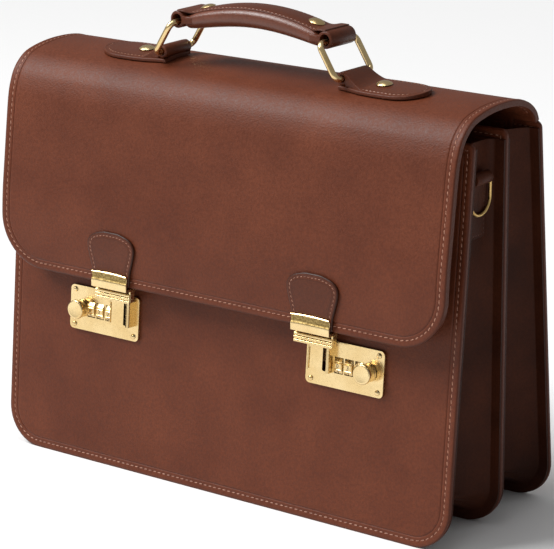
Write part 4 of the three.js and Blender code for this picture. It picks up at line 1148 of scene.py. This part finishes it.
def paint(piece, material, chosen):
    """Gives another material to the faces chosen by their middle, in the lock's own depth and
    height, and by how far they face along X."""
    piece.data.materials.append(material)
    faces = piece.data.polygons
    middles = np.empty(3 * len(faces))
    faces.foreach_get("center", middles)
    middles = middles.reshape(-1, 3) / MM
    normals = np.empty(3 * len(faces))
    faces.foreach_get("normal", normals)
    depth, up = in_lock(middles[:, 1], middles[:, 2])
    marks = chosen(middles[:, 0], depth, up, np.abs(normals[::3]))
    faces.foreach_set("material_index", marks.astype(np.int32))


def hasp_cap(name, side):
    """The channel on the flap's edge: its front has a rolled lip that rises in the middle, a hollow
    band under it and a flat lower band. Two ears under it hold the pin."""
    lock = lock_place(side)
    middle = -side * HASP_OFFSET
    front = EDGE_Y - TAB_THICKNESS - 1.1
    back = EDGE_Y + FLAP_THICKNESS + 0.8
    low = EDGE_Z - 3.0
    top = low + CAP_HEIGHT
    floor_z = EDGE_Z - 0.8
    profile = [(front, floor_z)]
    profile += [(front + y, top + z) for y, z in CAP_LIP]
    profile += [(front + y, low + z) for y, z in CAP_FOOT]
    profile += [(back + y, low + z) for y, z in CAP_BACK]
    profile.append((back, floor_z))

    def arch(x, z):
        return (0.75 * (1 - (x / CAP_HALF) ** 2) - 0.35) * np.clip((z - low - 4) / 7, 0, 1)

    def upright(x, y, z):
        return lock(middle + x, y - FRONT_LEAN * (z - floor_z), z)

    parts = [prism(profile, np.linspace(-CAP_HALF, CAP_HALF, 25), upright, arch)]
    for way in (-1, 1):
        inner, outer = sorted((middle + way * EAR_INNER, middle + way * EAR_OUTER))
        parts.append(block((inner, PIN_Y - 2.4, PIN_Z - 2.5), (outer, PIN_Y + 2.5, low + 0.3), lock))
    parts.append(lathe(PIN_PROFILE, lambda a, b, c: lock(middle + c, PIN_Y + a, PIN_Z + b), 16))
    piece = make_piece(f"hasp_cover_{name}", parts, "case", BRASS, None, [f"hasp_cap_{name}"], 35)

    def in_hollow(x, depth, up, along_x):
        return (depth < front - 0.4) & (top - 6.4 < up) & (up < top - 0.9) & (along_x < 0.5)

    # painted shade: the concave band under the lip gets the darker, rougher brass
    paint(piece, HOLLOW_SHADE_BRASS, in_hollow)
    round_ends(piece, 0.3, 60)


def hasp(name, side):
    """The ribbed bar on the pin, with its tongue that goes down into the housing. Each rib is half
    an oval, and a flat groove lies between each two."""
    lock = lock_place(side)
    middle = -side * HASP_OFFSET
    front = PIN_Y - BAR_HALF_DEPTH
    back = PIN_Y + BAR_HALF_DEPTH
    turn = np.linspace(-math.pi / 2 + 0.01, math.pi / 2 - 0.01, 9)
    face = []
    for i in range(RIB_COUNT):
        centre = PIN_Z - RIB_LOW + RIB_PITCH * (i + 0.5)
        rib_y = front + RIB_RISE - RIB_RISE * np.cos(turn) ** 0.5
        face += list(zip(rib_y, centre + 0.4 * RIB_PITCH * np.sin(turn)))
        if i < RIB_COUNT - 1:
            face += [(front + GROOVE_DEPTH, centre + share * RIB_PITCH) for share in (0.42, 0.58)]
    face += [(front + GROOVE_DEPTH + 0.2, PIN_Z + 3.6), (front + GROOVE_DEPTH + 0.2, PIN_Z - 3.6)]
    ribs = prism(face, np.linspace(middle - BAR_HALF_WIDTH, middle + BAR_HALF_WIDTH, 9), lock)
    core = block((middle - BAR_CORE_HALF, front + 1.5, PIN_Z - 3.5),
                 (middle + BAR_CORE_HALF, back, PIN_Z + 3.5), lock)
    tongue = prism([(back - 3.4, PIN_Z - 1.6), (back, PIN_Z - 1.6), (back, PIN_Z - 3.7),
                    (TONGUE_BACK, TONGUE_TOP), (TONGUE_BACK, TONGUE_LOW), (TONGUE_FRONT, TONGUE_LOW),
                    (TONGUE_FRONT, TONGUE_TOP - 0.3), (back - 3.4, PIN_Z - 3.7)],
                   [middle - TONGUE_HALF_WIDTH, middle + TONGUE_HALF_WIDTH], lock)
    piece = make_piece(f"hasp_bar_{name}", [ribs, core, tongue], "case", BRASS, None,
                       [f"hasp_{name}"], 50)

    def in_groove(x, depth, up, along_x):
        deep = (front + 0.72 < depth) & (depth < front + 1.45)
        return deep & (np.abs(up - PIN_Z) < 3.4) & (along_x < 0.5)

    # painted shade: the faces deep in the grooves between the ribs get the dark brass
    paint(piece, RECESS_SHADE_BRASS, in_groove)


def lock_cuts(side):
    """The deep slot in the right of the housing's front: straight sides over a round foot."""
    half = SLOT_HALF_WIDTHS[side]
    turn = np.linspace(math.pi, 2 * math.pi, 11)
    centre = -side * HOUSING_OFFSET + SLOT_OFFSET
    x = np.append(centre + half * np.cos(turn), [centre + half, centre - half])
    z = np.append(SLOT_LOW + half + half * np.sin(turn), [SLOT_TOP, SLOT_TOP])
    y = np.array([-12.0, SLOT_FLOOR])[:, None] + 0 * x
    return [tube(lock_place(side)(x + 0 * y, y, z + 0 * y))]


def lock_body(name, side):
    """The plate with its casing and the housing for the tongue. The slot's walls have painted shade.
    """
    piece = rounded_copy(f"lock_plate_{name}", f"lock_body_{name}", "case", BRASS, 0.45,
                         cuts=lock_cuts(side))
    centre = side * (LOCK_X - HOUSING_OFFSET) + SLOT_OFFSET

    def in_slot(x, depth, up, along_x):
        deep = (-9.2 < depth) & (depth < SLOT_FLOOR + 0.2)
        return deep & (np.abs(x - centre) < 1.8) & (-5 < up) & (up < SLOT_TOP + 0.05)

    # painted shade: the slot's walls get the dark brass
    paint(piece, RECESS_SHADE_BRASS, in_slot)


for name, side in SIDES:
    lock_body(name, side)
    hasp_cap(name, side)
    hasp(name, side)
    knob(name, side)
    plate_rivets(name, side)
    for index in range(3):
        dial(name, side, index)


# The handle

RING_BASE_Z = float(flap_top(HANDLE_Y)) + RING_BASE_LIFT
RING_GRIP_Z = RING_BASE_Z + RING_RISE
GRIP_LOOP_Z = RING_GRIP_Z + GRIP_LOOP_BORE - WIRE_RADIUS - 0.35


def handle_ring(name, side):
    """A brass rectangle of round wire: a rounded rectangle as the path, in a plane that leans in to
    the grip, with a circle carried along it."""
    base = np.array([HANDLE_X + side * RING_BASE_HALF, HANDLE_Y, RING_BASE_Z])
    top = np.array([HANDLE_X + side * RING_GRIP_HALF, HANDLE_Y, RING_GRIP_Z])
    up = top - base
    height = np.linalg.norm(up)
    up /= height
    across = np.array([0, 1.0, 0])
    ring = rounded_rings(RING_HALF_WIDTH, -height / 2, height / 2, 5, 5, [0], (16, 12, 10))[0]
    centre = (base + top) / 2
    path = centre + ring[:, :1] * across + ring[:, 1:] * up
    part = sweep_ring(path, np.cross(across, up), WIRE_RADIUS, 20)
    make_piece(f"handle_wire_{name}", [part], f"handle_ring_{name}", BRASS, None,
               [f"handle_ring_{name}"], 60)


def band(centre_x, centre_z, reach, hollow, half_width, soft=0.9):
    """Leather round a bar along Y: its outside is reach(angle) from the bar, its inside a round
    hollow, and its two faces have rounded edges."""
    angle = np.linspace(0, 2 * np.pi, 72, endpoint=False)
    way, share, tuck = np.array(BAND_SECTION).T[:, :, None]
    radius = hollow + (reach(angle) - hollow) * share
    y = way * (half_width - soft * tuck) + 0 * radius
    points = np.stack([centre_x + radius * np.cos(angle), HANDLE_Y + y,
                       centre_z + radius * np.sin(angle)], -1)
    return points, grid_faces(len(BAND_SECTION), len(angle), close_rows=True, close_columns=True)


def tongue_half_width(share):
    """Half width of a base along its length: the loop's width at the ring, then wider, then round."""
    body = np.interp(share, [0, 0.1, 0.28, 0.45, 1], [0.8, 0.83, 0.96, 1, 1])
    tip = np.sqrt(np.clip(1 - np.clip((share - TIP_START) / (1 - TIP_START), 0, 1) ** 2.3, 0, 1))
    return BASE_HALF_WIDTH * body * tip


def slab_section(x, half_width, low, high, squareness=0.28):
    """A loft along X of flat sections with round edges, between a low and a high line."""
    around = np.linspace(0, 2 * np.pi, 60, endpoint=False)
    y = np.sign(np.cos(around)) * np.abs(np.cos(around)) ** squareness
    z = np.sign(np.sin(around)) * np.abs(np.sin(around)) ** squareness
    across = HANDLE_Y + half_width[:, None] * y[None]
    bend = flap_top(across) - flap_top(HANDLE_Y)
    upright = (low + high)[:, None] / 2 + (high - low)[:, None] / 2 * z[None]
    return np.stack([x[:, None] + 0 * across, across, upright + 0 * across], -1), bend, y, z


def base_strap(name, side):
    """The leather base under each ring: a tongue with a round outer end that follows the crown, and
    a strap that rises from it in an S, goes over the ring's bar and comes back under it."""
    crown = float(flap_top(HANDLE_Y)) + SEAM_GAP
    bar_x = HANDLE_X + side * RING_BASE_HALF
    length = BASE_LENGTH - LOOP_RADIUS + BASE_OVERLAP
    rest = 1 - TIP_START
    share = np.concatenate([np.linspace(0, TIP_START, 24)[:-1],
                            TIP_START + rest * np.sin(np.linspace(0, np.pi / 2, 30))])
    width = tongue_half_width(share)
    x = bar_x + side * (length * share - BASE_OVERLAP)
    points, bend, y, z = slab_section(x, width, crown + 0 * x, crown + BASE_THICKNESS + 0 * x)
    edge = np.minimum(width[:, None] * (1 - np.abs(y[None])), (length * (1 - share))[:, None]) + 0.2
    swell = np.where(z[None] > 0, -0.3 * np.exp(-((edge - BASE_STITCH_INSET) / 0.6) ** 2), 0)
    points[..., 2] += bend + swell
    tongue = tube(points)
    dx = np.concatenate([[0, 1, 2, 2.6, 3.0], np.linspace(3.4, RAMP_REACH, 20)])
    fall = np.clip((dx - 1) / (RAMP_REACH - 1), 0, 1)
    fall = np.clip(fall ** 1.6 * (1 + 1.6 * (1 - fall)), 0, 1)
    bar_top = RING_BASE_Z + LOOP_RADIUS - 0.05
    top = bar_top + (crown + BASE_THICKNESS - 0.1 - bar_top) * fall
    low = np.where(dx < 3.0, RING_BASE_Z + np.sqrt(np.maximum(9.2 - dx ** 2, 0)), crown + 1)
    half = np.interp(dx, [0, 8, RAMP_REACH], [LOOP_HALF_WIDTH, LOOP_HALF_WIDTH + 0.1, RAMP_END_HALF])
    points, bend, _, _ = slab_section(bar_x + side * dx, half, low, top, 0.2)
    points[..., 2] += bend * np.clip(dx / RAMP_REACH, 0, 1)[:, None]
    strap = tube(points)
    loop = band(bar_x, RING_BASE_Z, lambda angle: LOOP_RADIUS + 0 * angle, LOOP_BORE, LOOP_HALF_WIDTH)
    plain = np.full(points[..., 0].size + loop[0][..., 0].size, PLAIN_INSET)
    near = np.where(edge > 6, PLAIN_INSET, np.maximum(edge, 1.3))
    inset = np.concatenate([near.ravel(), plain])
    make_piece(f"base_leather_{name}", [tongue, strap, loop], "case", STRAP, inset,
               [f"handle_base_{name}"])
    run = np.concatenate([np.linspace(0.3, TIP_START, 24)[:-1],
                          TIP_START + rest * np.sin(np.linspace(0, np.pi / 2, 40))])
    half = np.maximum(tongue_half_width(run) - BASE_STITCH_INSET, 0)
    pull = BASE_STITCH_INSET * np.clip((run - TIP_START) / rest, 0, 1) ** 2
    px = bar_x + side * (length * run - BASE_OVERLAP - pull)
    x = np.append(px, px[::-1])
    y = HANDLE_Y + np.append(half, -half[::-1])
    path = np.stack([x, y, flap_top(y) + SEAM_GAP + BASE_THICKNESS - 0.15], -1)
    rows = [stitches(path, np.tile([0.0, 0.0, 1.0], (len(path), 1)), pitch=3.3, length=2.3,
                     radius=0.36, closed=False)]
    make_piece(f"base_stitches_{name}", rows, "case", THREAD)


def grip_top_at(x):
    """Height of the grip's top line: an arch that falls with the square of the way from its middle."""
    return float(flap_top(HANDLE_Y)) + GRIP_TOP_LIFT - GRIP_ARCH * (x / GRIP_HALF) ** 2


def grip_point(x, angle):
    """Place on the roll: a wide oval that is flatter on top, hung under the arched top line."""
    c = np.cos(angle)
    s = np.sin(angle)
    power = np.where(s > 0, 0.62, 0.86)
    y = np.sign(c) * np.abs(c) ** 0.8 * GRIP_HALF_WIDTH
    half = GRIP_HEIGHT / 2
    z = np.sign(s) * np.abs(s) ** power * half
    pull = 1 - 0.05 * np.exp(-((np.abs(x) - GRIP_HALF) / 5) ** 2)
    half = half - 1.7 * (np.abs(x) / GRIP_HALF) ** 3
    z = z * half / (GRIP_HEIGHT / 2)
    return np.stack([HANDLE_X + x + 0 * y, HANDLE_Y + y * pull + 0 * x,
                     grip_top_at(x) - half + z * pull], -1)


def grip():
    """The padded grip: a roll of grip_point sections along its length, drawn in to the middle of
    each section a little at both ends."""
    x = GRIP_HALF * np.concatenate([[-1, -0.997, -0.99, -0.975], np.linspace(-0.95, 0.95, 60),
                                    [0.975, 0.99, 0.997, 1]])
    around = np.linspace(0, 2 * np.pi, 72, endpoint=False)
    points = grip_point(x[:, None], around[None])
    shrink = 1 - np.interp(np.abs(x) / GRIP_HALF, [0, 0.975, 0.99, 0.997, 1], [0, 0, 0.02, 0.06, 0.12])
    middle = points.mean(1, keepdims=True)
    skin = tube(middle + (points - middle) * shrink[:, None, None])
    piece = make_piece("grip_leather", [skin], "grip", GRIP, None, ["handle_grip"])
    strip()


def strip_point(x, share, out):
    """Place on the strip along the grip's top: it lies on the roll, and at both ends it goes level
    and wider on to the loops."""
    angle = np.radians(90 + STRIP_HALF_TURN * share)
    on_roll = grip_point(x, angle)
    away = np.stack([0 * x + 0 * angle, np.cos(angle) * 0.7 + 0 * x, np.sin(angle) + 0 * x], -1)
    on_roll = on_roll + away * np.asarray(out)[..., None]
    level = GRIP_LOOP_Z + 6.5 + out + 0 * x
    on_loop = np.stack([HANDLE_X + x + 0 * share, HANDLE_Y - share * (LOOP_HALF_WIDTH - 0.2) + 0 * x,
                        level + 0 * share], -1)
    t = np.clip((np.abs(x) - 50) / 11, 0, 1)
    blend = (t * t * (3 - 2 * t))[..., None]
    return on_roll * (1 - blend) + on_loop * blend


def strip():
    """The flat strip sewn along the top of the grip: a closed sheet with round edges, and its
    stitches along both edges."""
    x = np.linspace(-RING_GRIP_HALF, RING_GRIP_HALF, 90)[:, None]
    share = np.concatenate([[-1, -0.995, -0.98, -0.95], np.linspace(-0.9, 0.9, 19),
                            [0.95, 0.98, 0.995, 1]])[None, :]
    rounding = np.interp(np.abs(share), [0, 0.9, 0.95, 0.98, 0.995, 1], [0, 0, 0.06, 0.2, 0.42, 0.6])
    groove = 0.12 * np.exp(-((np.abs(share) - STRIP_SEAM) / 0.035) ** 2)
    upper = strip_point(x, share, 0.85 - rounding - groove + 0 * x)
    lower = strip_point(x, share[:, ::-1], -0.3 + 0 * share + 0 * x)
    skin = tube(np.concatenate([upper, lower], 1))
    inset = np.minimum((1 - np.abs(share)) * 24 + 0.9, 6)
    inset = np.concatenate([inset, inset], 1) + 0 * x
    make_piece("grip_strip", [skin], "grip", STRAP, np.where(inset > 5.5, PLAIN_INSET, inset))
    line = np.linspace(-56, 56, 160)
    rows = []
    for way in (-1, 1):
        path = strip_point(line, np.full(160, way * STRIP_SEAM), np.full(160, 0.75))
        spot = math.radians(90 + STRIP_HALF_TURN * STRIP_SEAM * way)
        normals = np.tile([0.0, math.cos(spot) * 0.7, math.sin(spot)], (160, 1))
        rows.append(stitches(path, normals, pitch=3.4, length=2.4, radius=0.36, closed=False))
    make_piece("grip_stitches", rows, "grip", THREAD)


def grip_loop(name, side):
    """The leather loop in each end of the grip: a band round the ring's bar with a flat tail."""
    bar_x = HANDLE_X + side * RING_GRIP_HALF

    def reach(angle):
        turned = np.pi - angle if side > 0 else angle
        sine = np.abs(np.sin(turned))
        cosine = np.cos(turned)
        rise = np.where(sine > 0.02, GRIP_LOOP_HALF_TAIL / np.maximum(sine, 0.02), 99)
        end = np.where(cosine > 0.02, GRIP_LOOP_TAIL / np.maximum(cosine, 0.02), 0)
        return np.maximum(GRIP_LOOP_RADIUS, np.minimum(rise, end))

    part = band(bar_x, GRIP_LOOP_Z, reach, GRIP_LOOP_BORE, LOOP_HALF_WIDTH)
    make_piece(f"grip_loop_{name}", [part], "grip", STRAP, None, [f"handle_loop_{name}"])


def dome_rivet(piece_name, node_name, body, centre, slope_x, slope_y):
    """A low brass dome with a fine rim, tilted with the leather under it."""
    tilted = np.array(Euler((slope_y, slope_x, 0)).to_matrix())

    def place(a, b, c):
        return np.stack([a, b, c], -1) @ tilted.T + np.array(centre)

    make_piece(piece_name, [lathe(DOME_PROFILE, place, 40)], body, BRASS, None, [node_name], 50)


grip()
for name, side in SIDES:
    handle_ring(name, side)
    base_strap(name, side)
    grip_loop(name, side)
    top = float(flap_top(HANDLE_Y)) + SEAM_GAP + BASE_THICKNESS
    tilt = math.atan2(flap_top(HANDLE_Y + 6) - flap_top(HANDLE_Y - 6), 12)
    dome_rivet(f"base_stud_{name}", f"base_rivet_{name}", "case",
               (HANDLE_X + side * BASE_RIVET_HALF, HANDLE_Y, top + 0.55), 0, tilt)
    x = side * GRIP_RIVET_HALF
    lean = math.atan(2 * GRIP_ARCH * x / GRIP_HALF ** 2)
    dome_rivet(f"grip_stud_{name}", f"grip_rivet_{name}", "grip",
               (HANDLE_X + x, HANDLE_Y, grip_top_at(x) + 0.95), lean, 0)


# The side rings

def side_fittings(name, side):
    """A leather tab on the upper side of the front gusset, whose rolled top, a section turned about
    the bar, holds a wire ring: a circle carried along a straight bar, two corners and a half round."""
    y0 = (front_inner(SIDE_RING_Z) + divider_front(SIDE_RING_Z)) / 2
    outline = (SIDE_TAB_HALF, SIDE_RING_Z - SIDE_TAB_DROP, SIDE_RING_Z, 2.0, 1.0, (12, 22, 5))
    insets = np.array([0, 0.1, 0.3, 0.6, 1.1, 1.8, 2.2, 2.6, 3.2, 4.2, 6, 8, 9.9])

    def relief(distance):
        seam = -0.2 * np.exp(-((distance - SIDE_STITCH_INSET) / 0.5) ** 2)
        return seam - 0.5 * np.exp(-(distance / 0.5) ** 1.3)

    def place(x, z, out):
        return np.stack([side * (SIDE_TAB_X + SIDE_TAB_THICKNESS + out), y0 + x, z], -1)

    points, faces, inset = plate(outline, insets, place, SIDE_TAB_THICKNESS, relief)
    angle = np.linspace(0, 2 * np.pi, 48, endpoint=False)
    radius, y = np.array(ROLL_PROFILE).T[:, :, None]
    rolled = np.stack([side * (SIDE_RING_X + radius * np.cos(angle)), y0 + y + 0 * angle,
                       SIDE_RING_Z + radius * np.sin(angle)], -1)
    roll = (rolled, grid_faces(*rolled.shape[:2], close_rows=True, close_columns=True))
    plain = np.full(rolled[..., 0].size, PLAIN_INSET)
    near = np.where(inset > 4, PLAIN_INSET, inset)
    make_piece(f"side_tab_leather_{name}", [(points, faces), roll], "case", GUSSET,
               np.concatenate([near.ravel(), plain]), [f"side_tab_{name}"])
    row = ring_at(outline, SIDE_STITCH_INSET)
    row = row[row[:, 1] < SIDE_RING_Z - 8]
    first = np.argmax(np.linalg.norm(np.diff(np.vstack([row[-1:], row]), axis=0), axis=1))
    row = np.roll(row, -first, axis=0)
    path = place(row[:, 0], row[:, 1], np.full(len(row), -0.2))
    seam = stitches(path, np.tile([float(side), 0.0, 0.0], (len(row), 1)), pitch=3.2, length=2.2,
                    radius=0.32, closed=False)
    make_piece(f"side_tab_stitches_{name}", [seam], "case", DARK_THREAD)
    bow = SIDE_RING_HALF - SIDE_RING_DROP
    straight = SIDE_RING_HALF - SIDE_RING_CORNER
    q = np.linspace(0, np.pi / 2, 8)
    low = np.linspace(np.pi, 2 * np.pi, 40)
    along = np.concatenate([straight + SIDE_RING_CORNER * np.cos(q),
                            -straight - SIDE_RING_CORNER * np.sin(q), SIDE_RING_HALF * np.cos(low)])
    up = np.concatenate([SIDE_RING_CORNER * (np.sin(q) - 1), SIDE_RING_CORNER * (np.cos(q) - 1),
                         bow + SIDE_RING_HALF * np.sin(low)])
    path = np.stack([np.full(len(up), side * SIDE_RING_X), y0 + along, SIDE_RING_Z + up], -1)
    make_piece(f"side_wire_{name}", [sweep_ring(path, (1, 0, 0), SIDE_WIRE_RADIUS, 14)],
               f"side_ring_{name}", DARK_BRASS, None, [f"side_ring_{name}"], 60)


for name, side in SIDES:
    side_fittings(name, side)


# Camera, floor and light

CAMERA_AIM = Vector((0.0043, 0.0, 0.1535))
CAMERA_BACK = Vector((0.5775, -0.7691, 0.2740)).normalized()
CAMERA_DISTANCE = 2.0115
FLOOR_HALF = 6

camera = bpy.data.cameras.new("camera")
camera.sensor_width = 36
camera.lens = 175.8
holder = bpy.data.objects.new("camera", camera)
bpy.context.scene.collection.objects.link(holder)
holder.location = CAMERA_AIM + CAMERA_BACK * CAMERA_DISTANCE
holder.rotation_euler = CAMERA_BACK.to_track_quat("Z", "Y").to_euler()
bpy.context.scene.camera = holder

floor_mesh = bpy.data.meshes.new("floor")
corners = [(x * FLOOR_HALF, y * FLOOR_HALF, 0) for x, y in ((-1, -1), (1, -1), (1, 1), (-1, 1))]
floor_mesh.from_pydata(corners, [], [(0, 1, 2, 3)])
floor = bpy.data.objects.new("floor", floor_mesh)
bpy.context.scene.collection.objects.link(floor)
paper = bpy.data.materials.new("studio floor")
paper.use_nodes = True
paper_shader = paper.node_tree.nodes["Principled BSDF"]
paper_shader.inputs["Base Color"].default_value = (0.93, 0.93, 0.93, 1)
paper_shader.inputs["Roughness"].default_value = 0.8
floor_mesh.materials.append(paper)
bpy.context.scene.view_settings.view_transform = "Standard"

world = bpy.data.worlds.new("studio")
world.use_nodes = True
sky = world.node_tree.nodes["Background"]
sky.inputs["Color"].default_value = (1, 1, 1, 1)
sky.inputs["Strength"].default_value = 0.28
bpy.context.scene.world = world


def lamp(name, kind, place, target, energy, size):
    """A light at a place that shines at a target: a sun with its angle or a panel with its sides."""
    data = bpy.data.lights.new(name, kind)
    data.energy = energy
    if kind == "SUN":
        data.angle = math.radians(size)
    else:
        data.shape = "RECTANGLE"
        data.size = size[0]
        data.size_y = size[1]
    made = bpy.data.objects.new(name, data)
    bpy.context.scene.collection.objects.link(made)
    made.location = place
    direction = Vector(place) - Vector(target)
    made.rotation_euler = direction.to_track_quat("Z", "Y").to_euler()


lamp("soft sun", "SUN", (-1.6, -1.2, 2.6), (0, 0, 0.15), 2.6, 30)
lamp("key", "AREA", (-1.3, -1.2, 1.5), (0, 0, 0.2), 16, (0.7, 0.7))
lamp("top", "AREA", (-0.1, -0.3, 1.9), (0, 0, 0.3), 6, (1.2, 0.5))
